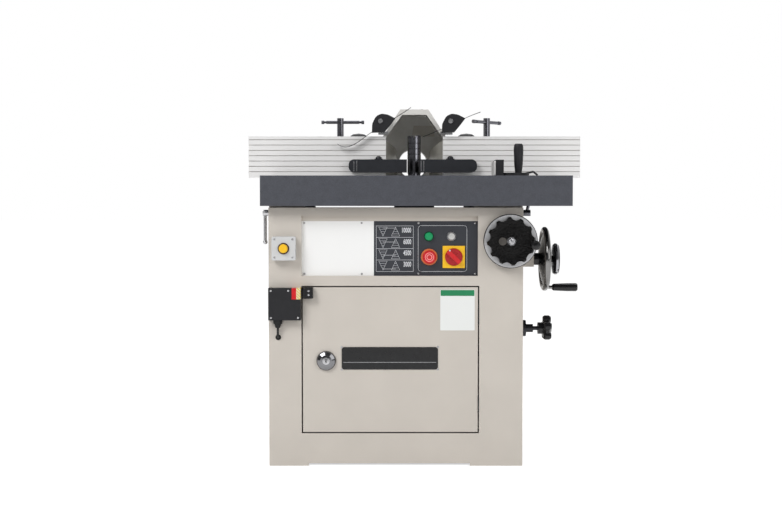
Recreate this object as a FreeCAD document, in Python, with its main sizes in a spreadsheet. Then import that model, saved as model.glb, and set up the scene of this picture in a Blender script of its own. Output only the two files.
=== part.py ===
import FreeCAD, Part
import math
import os
import re

import Sketcher
from FreeCAD import Rotation, Vector

# Spindle moulder: cabinet, cast table, two-part fence with hood, sliding quill and belt drive.
# Origin on the floor under the spindle axis, +X to the right, +Y to the back, +Z up, millimetres.

SIZES = {
    # shared clearances and stock
    "overrun": 5, "seat_gap": 0.3, "running_gap": 0.05, "slide_gap": 0.3, "sheet": 3, "screw_radius": 3.2,
    "screw_head": 2.2,
    # cabinet
    "cabinet_left": 437, "cabinet_right": 318, "cabinet_front": 315, "cabinet_back": 345,
    "flange_left": 104, "flange_right": 143, "rib_margin": 30, "pad_high": 5, "foot_left_width": 118,
    "foot_right_width": 157, "foot_arch": 8, "rail_width": 60, "rail_thick": 6, "anchor_radius": 7,
    "anchor_spacing": 480,
    # table
    "table_width": 914, "table_reach": 365, "table_back": 435, "table_top": 864, "table_skirt": 89,
    "table_plate": 22, "table_wall": 14, "rib_width": 44, "table_hole": 70, "ring_radius": 80,
    "ring_inner": 40, "ring_thick": 8, "slot_y": 230, "slot_width": 19.2, "slot_depth": 9.6,
    "clamp_slot_width": 16, "clamp_slot_length": 130, "clamp_slot_offset": 20,
    # door and its opening
    "door_left": 336, "door_right": 184, "door_bottom": 102, "door_top_drop": 330, "door_gap": 4,
    "door_depth": 18, "hinge_radius": 1.7, "hinge_length": 50, "hinge_margin": 60, "hinge_leaf": 16,
    "hinge_proud": 1,
    # door furniture
    "knob_x": 266.5, "knob_z": 315.5, "knob_radius": 29, "knob_high": 16, "knob_stem": 9, "cam_length": 26,
    "cam_width": 16, "cam_thick": 4, "plate_x": 77.5, "plate_z": 322.5, "plate_width": 286,
    "plate_high": 67, "plate_thick": 2, "plate_corner": 5.5,
    # control panel recess
    "recess_left": 340, "recess_right": 184, "recess_bottom_drop": 296.5, "recess_top_drop": 118,
    "recess_depth": 16, "panel_drop": 16, "panel_split": 125, "panel_thick": 3, "panel_lap": 3,
    "panel_tab": 8,
    # push buttons, lamp and main switch
    "button_drop": 179.5, "start_x": 38.6, "lamp_x": 105.8, "bezel_radius": 14, "bezel_high": 4,
    "button_radius": 12, "button_high": 8, "button_stem": 6, "button_travel": 4, "stop_x": 39.7,
    "switch_drop": 240.5, "stop_radius": 20, "stop_high": 12, "stop_shank_radius": 9,
    "collar_radius": 24.5, "collar_high": 7, "stop_travel": 4, "switch_x": 112.6, "switch_plate": 66,
    "switch_plate_thick": 4, "switch_radius": 26, "switch_base": 6, "grip_width": 13, "grip_high": 17,
    "grip_lean": 45, "switch_stem": 5,
    # button box on the left
    "box_x": 390, "box_drop": 214, "box_size": 70, "box_depth": 34, "box_corner": 5, "box_ring": 17,
    "box_ring_high": 3, "box_button": 13, "box_button_high": 8,
    # interlock switch
    "lock_left": 436, "lock_right": 340.5, "lock_bottom_drop": 426, "lock_top_drop": 331, "lock_depth": 30,
    "blocks_width": 26, "blocks_high": 33, "blocks_proud": 1.2, "actuator_width": 30, "actuator_high": 32,
    "actuator_depth": 26, "actuator_offset": 1.5, "gland_x": 409, "gland_radius": 13, "gland_high": 12,
    "gland_nose_radius": 10, "gland_nose_high": 11, "gland_offset": 15, "cable_radius": 3.5,
    "grommet_drop": 479, "grommet_radius": 8.5, "grommet_proud": 3, "cable_inside_length": 16,
    "cable_bend": 13.95,
    # front handwheel and its shaft
    "wheel_x": 278, "wheel_drop": 192.5, "boss_radius": 30, "boss_high": 22, "shaft_radius": 8,
    "dial_radius": 80, "dial_thick": 8, "dial_inner": 30, "lobe_radius": 71, "lobe_count": 12,
    "scallop_radius": 17, "scallop_offset": 8.5, "lobe_thick": 26, "lobe_gap": 4, "cap_radius": 12,
    "cap_high": 8, "indicator_x": 26, "indicator_radius": 11.5, "indicator_high": 3, "crank_x": 65.5,
    "crank_drop": 10, "crank_radius": 14, "crank_neck_radius": 6, "crank_length": 57.7, "crank_pin": 5,
    "crank_gap": 2,
    # side handwheel, lock knob and tension screw
    "side_y": 230, "side_drop": 249.5, "bracket_long": 37, "bracket_high": 44, "bracket_size": 70,
    "hub_radius": 18.5, "hub_long": 17, "rim_radius": 88, "rim_thick": 9.5, "web_thick": 8,
    "side_wheel_x": 391, "web_hub": 24, "lock_knob_radius": 48, "lock_knob_thick": 22, "lock_knob_x": 413,
    "lock_stem": 10, "side_handle_radius": 12.4, "side_handle_tip": 10.5, "side_handle_length": 76.5,
    "side_handle_gap": 13.5, "side_handle_pin": 5, "screw_end_x": 165, "nut_x": 212, "nut_long": 26,
    "nut_size": 30,
    # star knob clamp on the lower right
    "star_drop": 459.5, "star_flange": 25, "star_flange_thick": 16, "star_sleeve": 12.5,
    "star_sleeve_long": 22, "star_stem": 6.2, "star_stem_out": 15, "star_hub": 17.8, "star_hub_long": 15,
    "star_radius": 39, "star_thick": 26, "star_lobe": 12.4, "star_lobes": 5, "clamp_bar": 12,
    # lock levers at the top of both sides
    "lever_y": 250, "lever_drop": 110, "lever_radius": 9.5, "lever_head": 22, "lever_rod": 5,
    "lever_length": 84, "lever_ball": 7, "lever_pin": 5, "lever_inside_length": 24, "lever_tilt": 14,
    # quill, guide and lift train
    "quill_radius": 50, "quill_bottom_drop": 384, "quill_top_drop": 74, "quill_wall": 14,
    "guide_radius": 64, "guide_bottom_drop": 289, "guide_flange": 130, "guide_flange_thick": 20,
    "arm_bottom_drop": 364, "arm_thick": 30, "arm_radius": 68, "arm_width": 34, "lift_y": 130,
    "lift_radius": 8, "lift_bottom_drop": 464, "gear_radius": 18, "gear_face": 6, "gear_hub": 12,
    "gear_hub_long": 9, "gear_mesh": 0.3, "gear_plate_offset": 24, "gear_plate": 12,
    "gear_plate_right": 302, "gear_plate_left": 24, "gear_plate_bottom_drop": 258,
    "gear_plate_top_drop": 152, "lug_thick": 14, "web_bottom_drop": 214, "web_left": 2,
    # spindle
    "spindle_radius": 15.875, "spindle_rise": 126, "spindle_bottom_drop": 594, "spline_radius": 12,
    "spline_top_drop": 394, "bearing_high": 22, "bearing_margin": 6, "shoulder_radius": 20,
    "collar_outer": 21.5, "collar_count": 4, "collar_base_rise": 14, "collar_top_rise": 110,
    "nut_rise": 134, "nut_slot": 5, "nut_slot_deep": 3,
    # pulleys, belt and bridge
    "step_high": 16, "step_sum": 105, "spindle_step1": 26.9, "spindle_step2": 38.3, "spindle_step3": 45.6,
    "spindle_step4": 56.2, "pulley_bottom_drop": 542, "motor_x": 190, "belt_high": 12, "belt_thick": 5,
    "bridge_bottom_drop": 568, "bridge_thick": 16, "bridge_width": 70, "pulley_hub": 20,
    "motor_radius": 85, "motor_bottom_drop": 459, "motor_shaft": 12, "motor_box": 60,
    "slide_plate_bottom_drop": 224, "slide_plate_thick": 12, "slide_plate_left": 109,
    "slide_plate_right": 285, "slide_front": 246, "slide_back": 108, "rail_bar": 20, "rail_y": 100,
    # fence
    "fence_length": 434, "fence_gap": 90, "fence_high": 130, "fence_thick": 25, "fence_front": 45,
    "groove_count": 7, "groove_top": 10.5, "groove_pitch": 16.8, "groove_high": 2, "groove_deep": 3,
    "base_thick": 12, "base_rise": 121, "base_inner": 106, "base_outer": 300, "foot_outer": 285,
    "foot_thick": 22, "foot_back": 175, "post_x": 240, "post_y": 120, "post_radius": 11, "post_rise": 198,
    "post_stem": 6, "tee_rise": 185, "tee_radius": 5.5, "tee_length": 140, "tee_end": 6.2,
    "tee_neck_radius": 4, "tee_end_long": 9, "tee_neck_long": 7, "tee_angle": 47, "tee_offset": 8,
    "tee_nut": 13, "tee_nut_high": 12, "dome_left_x": 178, "dome_right_x": 168, "dome_radius": 26,
    "dome_high": 11, "dome_y": 28, "lug_width": 40, "lug_rise": 91, "dome_stem": 8,
    # hood with its dust outlet
    "hood_rise": 217, "shoulder_rise": 131, "hood_half": 100, "hood_top_half": 45, "hood_front": 18,
    "hood_back": 230, "hood_rim": 8, "hood_brow": 17, "hood_bolt_x": 25, "hood_bolt_radius": 5.5,
    "port_radius": 50.8, "port_rise": 53, "port_length": 70, "port_wall": 2.5,
    # hold-downs
    "hold_left_x": 107, "hold_right_x": 113, "hold_rise": 177, "hold_radius": 29, "hold_thick": 26,
    "hold_y": 64, "hold_arm_inner": 82, "hold_arm_high": 9, "hold_arm_rise": 136, "hold_lug": 10,
    "hold_bolt": 7, "hold_bolt_high": 6, "spring_thick": 1.4, "spring_wide": 20,
    # pressure shoes
    "shoe_left_outer": 207, "shoe_left_inner": 24, "shoe_right_inner": 16, "shoe_right_outer": 196,
    "shoe_rise": 16, "shoe_high": 41, "shoe_thick": 28, "shoe_nut_x": 113, "shoe_nut": 10,
    "shoe_washer": 13.5, "shoe_washer_thick": 2.5, "shoe_nut_high": 8,
    # mitre gauge
    "mitre_x": 293, "mitre_bar_long": 240, "mitre_head_radius": 50, "mitre_head_thick": 10,
    "mitre_face_x": 250, "mitre_face_thick": 24, "mitre_face_high": 48, "mitre_face_long": 110,
    "grip_x": 18, "grip_rise": 93, "grip_radius": 14.5, "grip_foot": 9.5, "stop_rod": 3,
    "stop_rod_out": 76, "stop_rod_rise": 9, "mitre_gap": 0.6, "mitre_pivot": 5,
}

# Hold-down outlines as shares of the cover's radius, across and up from its bolt.
COVER_SHARES = ((-0.93, -1.24), (-0.9, -0.3), (-0.5, 0.5), (0.1, 0.8), (0.8, 0.68), (1.6, 0.28),
                (1.0, -0.5),
                (0.42, -1.2))
LEFT_SPRING_SHARES = ((3.3, 1.45), (1.6, 0.35), (-0.4, -0.85), (-1.7, -1.75), (-2.7, -2.45), (-3.6, -2.8),
                      (-4.65, -2.5))
RIGHT_SPRING_SHARES = ((3.25, 0.95), (1.6, 0.3), (-0.4, -0.65), (-1.6, -1.15), (-2.4, -1.5), (-3.0, -1.7))

DOC = FreeCAD.newDocument("spindle_moulder")
SHEET = DOC.addObject("Spreadsheet::Sheet", "sizes")
for row, (alias, number) in enumerate(SIZES.items(), 1):
    SHEET.set(f"A{row}", alias)
    SHEET.set(f"B{row}", str(number))
    SHEET.setAlias(f"B{row}", alias)
DOC.recompute()

ALIASES = re.compile(r"\b(" + "|".join(sorted(SIZES, key=len, reverse=True)) + r")\b")
NODES = []
TURNS = {
    "+Z": Rotation(),
    "-Z": Rotation(Vector(1, 0, 0), 180),
    "+X": Rotation(Vector(0, 1, 0), 90),
    "-X": Rotation(Vector(0, 1, 0), -90),
    "+Y": Rotation(Vector(1, 0, 0), -90),
    "-Y": Rotation(Vector(1, 0, 0), 90),
}


def size(text):
    """Value of a formula written in the sheet's names."""
    return float(SHEET.evalExpression(text))


def bind(thing, prop, text):
    """Tie a property to a formula written in the sheet's names."""
    thing.setExpression(prop, ALIASES.sub(r"sizes.\1", text))


def place(thing, spot, rotation=None):
    """Set a turn, then tie the position to three formulas."""
    if rotation is not None:
        thing.Placement = FreeCAD.Placement(Vector(), rotation)
    for axis, text in zip("xyz", spot):
        bind(thing, f"Placement.Base.{axis}", text)
    return thing


def box(name, spans, spot):
    """Block centred on spot in X and Y, standing on spot in Z."""
    thing = DOC.addObject("Part::Box", name)
    for prop, text in zip(("Length", "Width", "Height"), spans):
        bind(thing, prop, text)
    corner = (f"({spot[0]}) - ({spans[0]}) / 2", f"({spot[1]}) - ({spans[1]}) / 2", spot[2])
    return place(thing, corner)


def slab(name, left, right, front, back, bottom, top):
    """Block between six faces."""
    thing = DOC.addObject("Part::Box", name)
    bind(thing, "Length", f"({right}) - ({left})")
    bind(thing, "Width", f"({back}) - ({front})")
    bind(thing, "Height", f"({top}) - ({bottom})")
    return place(thing, (left, front, bottom))


def rod(name, radius, length, spot, along="+Z"):
    """Cylinder that starts at spot."""
    thing = DOC.addObject("Part::Cylinder", name)
    bind(thing, "Radius", radius)
    bind(thing, "Height", length)
    return place(thing, spot, TURNS[along])


def ball(name, radius, spot):
    thing = DOC.addObject("Part::Sphere", name)
    bind(thing, "Radius", radius)
    return place(thing, spot)


def sketch_outline(body, name, plane, points):
    """Closed polygon whose corners are tied to formulas."""
    sketch = body.newObject("Sketcher::SketchObject", name + "_outline")
    face = [item for item in body.Origin.OriginFeatures if item.Role == plane][0]
    sketch.AttachmentSupport = [(face, "")]
    sketch.MapMode = "FlatFace"
    spots = [Vector(size(across), size(up), 0) for across, up in points]
    count = len(spots)
    sketch.addGeometry([Part.LineSegment(spots[n], spots[(n + 1) % count]) for n in range(count)])
    for n in range(count):
        sketch.addConstraint(Sketcher.Constraint("Coincident", n, 2, (n + 1) % count, 1))
    for n, corner in enumerate(points):
        for kind, text, now in zip(("DistanceX", "DistanceY"), corner, spots[n]):
            tie = sketch.addConstraint(Sketcher.Constraint(kind, -1, 1, n, 1, now))
            bind(sketch, f"Constraints[{tie}]", text)
    return sketch


def turned(name, points, spot, along="+Z"):
    """Turned piece: a (radius, height) outline revolved about its axis."""
    body = DOC.addObject("PartDesign::Body", name)
    sketch = sketch_outline(body, name, "XZ_Plane", points)
    spin = body.newObject("PartDesign::Revolution", name + "_turn")
    spin.Profile = sketch
    spin.ReferenceAxis = (sketch, ["V_Axis"])
    spin.Angle = 360
    return place(body, spot, TURNS[along])


def padded(name, plane, points, thick, spot, rotation=None, backwards=False):
    """Plate: an outline on one of the body's own planes, given a thickness."""
    body = DOC.addObject("PartDesign::Body", name)
    sketch = sketch_outline(body, name, plane, points)
    pad = body.newObject("PartDesign::Pad", name + "_pad")
    pad.Profile = sketch
    pad.Reversed = backwards
    bind(pad, "Length", thick)
    return place(body, spot, rotation)


def soften(body, radius, wanted):
    """Round the edges of a body's last feature that pass the test."""
    DOC.recompute()
    base = body.Tip
    names = [f"Edge{n}" for n, edge in enumerate(base.Shape.Edges, 1) if wanted(edge)]
    rounded = body.newObject("PartDesign::Fillet", body.Name + "_round")
    rounded.Base = (base, names)
    bind(rounded, "Radius", radius)
    body.Tip = rounded
    return body


def cut(name, base, *tools):
    """Base with every tool taken away."""
    for n, tool in enumerate(tools):
        step = DOC.addObject("Part::Cut", f"{name}_cut{n}")
        step.Base = base
        step.Tool = tool
        base = step
    return base


def fuse(name, *pieces):
    joined = DOC.addObject("Part::MultiFuse", name)
    joined.Shapes = list(pieces)
    joined.Refine = True
    return joined


def group(name, pieces):
    """Like pieces that stay separate solids of one node."""
    gathered = DOC.addObject("Part::Compound", name)
    gathered.Links = list(pieces)
    return gathered


def node(label, thing):
    """Name a finished sub-part; the name is also its file's."""
    thing.Label = label
    NODES.append(thing)
    return thing


def along_edge(direction):
    """Test for straight edges that run along a direction."""
    def test(edge):
        if not isinstance(edge.Curve, Part.Line):
            return False
        return abs(abs(edge.tangentAt(edge.FirstParameter).dot(direction)) - 1) < 1e-6
    return test


# Cabinet: two sides, a back and a front of folded sheet, on floor rails.
UPRIGHT = along_edge(Vector(0, 0, 1))
ACROSS = along_edge(Vector(0, 1, 0))


def rib_place(side):
    """Middle of the table rib that rests on one side of the cabinet."""
    outer = "cabinet_right" if side > 0 else "cabinet_left"
    return f"({side} * min({outer} - rib_margin; (table_width - rib_width) / 2))"


def side_panel(name, side, extras=(), holes=()):
    """Folded side with a flange under the table pads and one on the floor."""
    outer = "cabinet_right" if side > 0 else "-cabinet_left"
    inner = f"{outer} - {side} * sheet"
    reach = "flange_right" if side > 0 else "flange_left"
    rib_x = rib_place(side)
    flange_edge = f"min({side} * ({outer}) - {reach}; {side} * {rib_x} - rib_width / 2)"
    length = "cabinet_front + cabinet_back - 2 * sheet"
    middle = "(cabinet_back - cabinet_front) / 2"
    wall = box(name + "_wall", ("sheet", length, "table_top - table_skirt - pad_high"),
               (f"{outer} - {side} * sheet / 2", middle, "0"))
    flange_span = f"({side} * ({outer}) - {flange_edge})"
    flange_mid = f"({outer} - {side} * {flange_span} / 2)"
    flange = box(name + "_flange", (flange_span, length, "sheet"),
                 (flange_mid, middle, "(table_top - table_skirt - pad_high) - sheet"))
    rail_x = f"{inner} - {side} * rail_width / 2"
    rail = box(name + "_rail", ("rail_width + sheet", length, "rail_thick"),
               (f"{outer} - {side} * (rail_width + sheet) / 2", middle, "0"))
    pads = [box(f"{name}_pad{end}", (flange_span, "rib_width", "pad_high + sheet"),
                (flange_mid, spot, "(table_top - table_skirt - pad_high) - sheet"))
            for end, spot in enumerate(("-cabinet_front + rib_width", "cabinet_back - rib_width"))]
    anchors = [rod(f"{name}_anchor{end}", "anchor_radius", "rail_thick + 2 * overrun",
                   (rail_x, f"{middle} + {end} * anchor_spacing / 2", "-overrun")) for end in (-1, 1)]
    lever_hole = rod(name + "_lever_hole", "lever_pin + running_gap", "3 * sheet",
                     (f"{outer} - {side} * 2 * sheet", "-lever_y", "table_top - lever_drop"),
                     "+X" if side > 0 else "-X")
    return cut(name, fuse(name + "_folded", wall, flange, rail, *pads, *extras), *anchors, lever_hole,
               *holes)


node("left_side_panel", side_panel("left_side", -1))
bracket = box("wheel_bracket", ("bracket_long", "bracket_size", "bracket_high"),
              ("cabinet_right + bracket_long / 2", "-side_y", "(table_top - side_drop) - bracket_high / 2"))
screw_hole = rod("screw_hole", "shaft_radius + running_gap", "bracket_long + 3 * sheet",
                 ("cabinet_right - 2 * sheet", "-side_y", "table_top - side_drop"), "+X")
star_hole = rod("star_hole", "star_stem + running_gap", "3 * sheet",
                ("cabinet_right - 2 * sheet", "-side_y", "table_top - star_drop"), "+X")
node("right_side_panel", side_panel("right_side", 1, [bracket], [screw_hole, star_hole]))

node("back_panel", slab("back_panel", "-cabinet_left", "cabinet_right", "cabinet_back - sheet",
                        "cabinet_back", "0", "table_top - table_skirt - pad_high"))

front_sheet = slab("front_sheet", "-cabinet_left", "cabinet_right", "-cabinet_front",
                   "-cabinet_front + sheet", "0", "table_top - table_skirt - pad_high")
lip = slab("recess_lip", "-recess_left - sheet", "recess_right + sheet", "-cabinet_front",
           "-cabinet_front + recess_depth", "(table_top - recess_bottom_drop) - sheet",
           "(table_top - recess_top_drop) + sheet")
recess = slab("recess_window", "-recess_left", "recess_right", "-cabinet_front - overrun",
              "-cabinet_front + recess_depth + overrun", "table_top - recess_bottom_drop",
              "table_top - recess_top_drop")
strip = slab("recess_strip", "-recess_left - sheet", "recess_right + sheet",
             "-cabinet_front + recess_depth",
             "-cabinet_front + recess_depth + panel_thick",
             "(table_top - recess_top_drop) - panel_drop + running_gap",
             "(table_top - recess_top_drop) + sheet")
doorway = slab("doorway", "-door_left - door_gap", "door_right + door_gap", "-cabinet_front - overrun",
               "-cabinet_front + sheet + overrun", "door_bottom - door_gap",
               "(table_top - door_top_drop) + door_gap")
arch = slab("front_arch", "-cabinet_left + foot_left_width", "cabinet_right - foot_right_width",
            "-cabinet_front - overrun", "-cabinet_front + sheet + overrun", "-overrun", "foot_arch")
wheel_boss = rod("wheel_boss", "boss_radius", "boss_high",
                 ("wheel_x", "-cabinet_front", "table_top - wheel_drop"), "-Y")
wheel_hole = rod("wheel_hole", "shaft_radius + running_gap", "boss_high + sheet + 2 * overrun",
                 ("wheel_x", "-cabinet_front - boss_high - overrun", "table_top - wheel_drop"), "+Y")
cable_hole = rod("cable_hole", "grommet_radius - sheet", "sheet + 2 * overrun",
                 ("-gland_x", "-cabinet_front - overrun", "table_top - grommet_drop"), "+Y")
front = cut("front_opened", fuse("front_folded", front_sheet, lip, wheel_boss), recess, doorway, arch,
            wheel_hole, cable_hole)
node("front_panel", fuse("front_panel", front, strip))

# Cast table on pads, with a loose ring round the spindle.
underside = "table_top - table_skirt"
casting = slab("table_casting", "-table_width / 2", "table_width / 2", "-table_reach", "table_back",
               underside, "table_top")
hollow = slab("table_hollow", "-table_width / 2 + table_wall", "table_width / 2 - table_wall",
              "-table_reach + table_wall", "table_back - table_wall", f"{underside} - overrun",
              "table_top - table_plate")
ribs = [slab(f"table_rib{side}", f"{rib_place(side)} - rib_width / 2", f"{rib_place(side)} + rib_width / 2",
             "-table_reach + table_wall", "table_back - table_wall", underside, "table_top - table_plate")
        for side in (-1, 1)]
ring_seat = rod("ring_seat", "ring_radius + seat_gap", "ring_thick + overrun",
                ("0", "0", "table_top - ring_thick"))
spindle_hole = rod("spindle_hole", "table_hole", "table_plate + 2 * overrun",
                   ("0", "0", "table_top - table_plate - overrun"))
mitre_slot = slab("mitre_slot", "-table_width / 2 - overrun", "table_width / 2 + overrun",
                  "-slot_y - slot_width / 2", "-slot_y + slot_width / 2", "table_top - slot_depth",
                  "table_top + overrun")
clamp_slots = [box(f"clamp_slot{side}", ("clamp_slot_width", "clamp_slot_length",
                                         "table_plate + 2 * overrun"),
                   (f"{side} * post_x", "post_y - clamp_slot_offset", "table_top - table_plate - overrun"))
               for side in (-1, 1)]
node("table", cut("table", fuse("table_body", cut("table_shell", casting, hollow), *ribs), ring_seat,
                  spindle_hole, mitre_slot, *clamp_slots))

ring = rod("ring_disc", "ring_radius", "ring_thick", ("0", "0", "table_top - ring_thick"))
ring_bore = rod("ring_bore", "ring_inner", "ring_thick + 2 * overrun",
                ("0", "0", "table_top - ring_thick - overrun"))
node("table_ring", cut("table_ring", ring, ring_bore))

# Door: a folded pan that swings on pins in the gap at its right edge.
door_front = "-cabinet_front"
skin = slab("door_skin", "-door_left", "door_right", door_front, f"{door_front} + door_depth",
            "door_bottom", "table_top - door_top_drop")
pan = slab("door_pan", "-door_left + sheet", "door_right - sheet", f"{door_front} + sheet",
           f"{door_front} + door_depth + overrun", "door_bottom + sheet",
           "(table_top - door_top_drop) - sheet")
knob_hole = rod("knob_hole", "knob_stem + running_gap", "sheet + 2 * overrun",
                ("-knob_x", f"{door_front} - overrun", "knob_z"), "+Y")
node("door", cut("door", skin, pan, knob_hole))

hinge_x = "door_right + door_gap / 2"
hinges = []
for end, low in enumerate(("door_bottom + hinge_margin",
                           "(table_top - door_top_drop) - hinge_margin - hinge_length")):
    pin = rod(f"hinge_pin{end}", "hinge_radius", "hinge_length",
              (hinge_x, "-cabinet_front - hinge_proud", low))
    web = slab(f"hinge_web{end}", hinge_x, "door_right + door_gap", "-cabinet_front - hinge_proud",
               "-cabinet_front + sheet", low, f"{low} + hinge_length")
    leaf = slab(f"hinge_leaf{end}", hinge_x, "door_right + door_gap + hinge_leaf", "-cabinet_front + sheet",
                "-cabinet_front + 2 * sheet", low, f"{low} + hinge_length")
    hinges.append(fuse(f"hinge{end}", pin, web, leaf))
node("hinge_pins", group("hinge_pins", hinges))

dome = turned("knob_dome", (("0", "0"), ("knob_radius", "0"), ("knob_radius", "knob_high * 0.35"),
                            ("knob_radius * 0.9", "knob_high * 0.65"),
                            ("knob_radius * 0.6", "knob_high * 0.92"),
                            ("0", "knob_high")),
              ("-knob_x", f"{door_front} - seat_gap", "knob_z"), "-Y")
stem = rod("knob_stem_rod", "knob_stem", "door_depth + 2 * cam_thick",
           ("-knob_x", f"{door_front} - seat_gap - running_gap", "knob_z"), "+Y")
cam = slab("knob_cam", "-knob_x - cam_width / 2", "-knob_x + cam_width / 2",
           f"{door_front} + door_depth + seat_gap", f"{door_front} + door_depth + seat_gap + cam_thick",
           "knob_z - cam_width / 2", "knob_z + cam_length")
node("door_knob", fuse("door_knob", dome, stem, cam))

plate_points = []
for across, up in ((-1, -1), (1, -1), (1, 1), (-1, 1)):
    ends = [(f"{across} * plate_width / 2", f"{up} * (plate_high / 2 - plate_corner)"),
            (f"{across} * (plate_width / 2 - plate_corner)", f"{up} * plate_high / 2")]
    plate_points += ends if across * up > 0 else ends[::-1]
node("blank_nameplate", padded("blank_nameplate", "XZ_Plane", plate_points, "plate_thick",
                               ("-plate_x", f"{door_front}", "plate_z")))


def screw(name, spot, along="-Y", radius="screw_radius"):
    """Pan-head screw on a face: only its head stands out."""
    return turned(name, (("0", "0"), (radius, "0"), (f"{radius} * 0.92", "screw_head * 0.6"),
                         (f"{radius} * 0.5", "screw_head"), ("0", "screw_head")), spot, along)


plate_screws = [screw(f"plate_screw{n}", (f"-plate_x + {across} * plate_width / 2", f"{door_front}",
                                          f"plate_z + {up} * plate_high / 2"))
                for n, (across, up) in enumerate(((-1, -1), (1, -1), (-1, 1), (1, 1)))]
# Control recess: a blank plate and the switch panel lie on the back of the recess.
panel_face = "-cabinet_front + recess_depth"
node("blank_panel", slab("blank_panel", "-recess_left - panel_lap", "-panel_split", panel_face,
                         f"{panel_face} + panel_thick", "(table_top - recess_bottom_drop) - panel_lap",
                         "(table_top - recess_top_drop) - panel_drop"))
panel = slab("panel_sheet", "-panel_split", "recess_right + panel_lap", panel_face,
             f"{panel_face} + panel_thick", "(table_top - recess_bottom_drop) - panel_lap",
             "(table_top - recess_top_drop) - panel_drop")
stem_holes = [rod(f"stem_hole{n}", f"{stem} + running_gap", "panel_thick + 2 * overrun",
                  (across, f"{panel_face} - overrun", up), "+Y")
              for n, (stem, across, up) in enumerate((("button_stem", "start_x",
                                                       "table_top - button_drop"),
                                                      ("stop_shank_radius", "stop_x",
                                                       "table_top - switch_drop"),
                                                      ("switch_stem", "switch_x",
                                                       "table_top - switch_drop")))]
drilled_panel = cut("drilled_panel", panel, *stem_holes)
panel_rows = ("(table_top - recess_bottom_drop) + 0.7 * panel_tab",
              "(table_top - recess_top_drop) - panel_drop - 0.7 * panel_tab")
panel_columns = ("-recess_left + panel_tab", "-panel_split - 4.5 * panel_tab",
                 "stop_x - 4 * panel_tab", "recess_right - panel_tab")
front_screws = [screw(f"panel_screw{n}{m}", (column, panel_face, up))
                for n, column in enumerate(panel_columns) for m, up in enumerate(panel_rows)]


def push_button(label, head, head_high, stem, spot, reach):
    """Button cap with a stem that runs in its hole; the cap stands clear of its bezel."""
    face = spot[1]
    cap = turned(label + "_cap", (("0", "0"), (head, "0"), (head, f"{head_high} * 0.7"),
                                  (f"{head} * 0.86", head_high), ("0", head_high)),
                 (spot[0], f"{face} - ({reach})", spot[2]), "-Y")
    shank = rod(label + "_shank", stem, f"{reach} + panel_thick + 2 * overrun",
                (spot[0], f"{face} - ({reach})", spot[2]), "+Y")
    return fuse(label, cap, shank)


def bezel(label, outer, bore, high, spot):
    """Round collar on a panel face."""
    return turned(label, ((bore, "0"), (outer, "0"), (outer, f"{high} * 0.6"), (f"{outer} * 0.92", high),
                          (bore, high)), spot, "-Y")


start_spot = ("start_x", panel_face, "table_top - button_drop")
start_bezel = bezel("start_bezel", "bezel_radius", "button_radius + seat_gap", "bezel_high", start_spot)
node("switch_panel", fuse("switch_panel", drilled_panel, start_bezel))
node("start_button", push_button("start_button", "button_radius", "button_high", "button_stem", start_spot,
                                 "button_travel + seat_gap"))
node("pilot_lamp", turned("pilot_lamp", (("0", "0"), ("bezel_radius", "0"),
                                         ("bezel_radius", "bezel_high * 0.6"),
                                         ("bezel_radius * 0.92", "bezel_high"),
                                         ("button_radius", "bezel_high"),
                                         ("button_radius * 0.8", "button_high"),
                                         ("0", "button_high * 1.2")),
                          ("lamp_x", panel_face, "table_top - button_drop"), "-Y"))
stop_spot = ("stop_x", panel_face, "table_top - switch_drop")
stop_collar = bezel("stop_collar", "collar_radius", "stop_shank_radius + seat_gap", "collar_high",
                    stop_spot)
node("stop_button", push_button("stop_button", "stop_radius", "stop_high", "stop_shank_radius", stop_spot,
                                "collar_high + stop_travel + seat_gap"))

switch_face = f"{panel_face} - switch_plate_thick"
square = box("switch_square", ("switch_plate", "switch_plate_thick", "switch_plate"),
             ("switch_x", f"{panel_face} - switch_plate_thick / 2",
              "(table_top - switch_drop) - switch_plate / 2"))
square_hole = rod("square_hole", "switch_stem + running_gap", "switch_plate_thick + 2 * overrun",
                  ("switch_x", f"{switch_face} - overrun", "table_top - switch_drop"), "+Y")
node("switch_bases", group("switch_bases", [stop_collar, cut("switch_plate", square, square_hole)]))
disc = turned("switch_disc", (("0", "0"), ("switch_radius", "0"), ("switch_radius", "switch_base * 0.7"),
                              ("switch_radius * 0.92", "switch_base"), ("0", "switch_base")),
              ("switch_x", f"{switch_face} - seat_gap", "table_top - switch_drop"), "-Y")
grip = DOC.addObject("Part::Box", "switch_grip")
bind(grip, "Length", "grip_width")
bind(grip, "Width", "grip_high")
bind(grip, "Height", "switch_radius * 1.9")
reach = "(switch_radius * 0.95)"
place(grip, (f"switch_x + {reach} * sin(grip_lean) - grip_width / 2 * cos(grip_lean)",
             f"{switch_face} - seat_gap - grip_high",
             f"(table_top - switch_drop) - {reach} * cos(grip_lean) - grip_width / 2 * sin(grip_lean)"),
      Rotation(Vector(0, 1, 0), -size("grip_lean")))
shank = rod("switch_shank", "switch_stem", "switch_plate_thick + panel_thick + overrun",
            ("switch_x", f"{switch_face} - seat_gap", "table_top - switch_drop"), "+Y")
node("switch_knob", fuse("switch_knob", disc, grip, shank))

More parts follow.
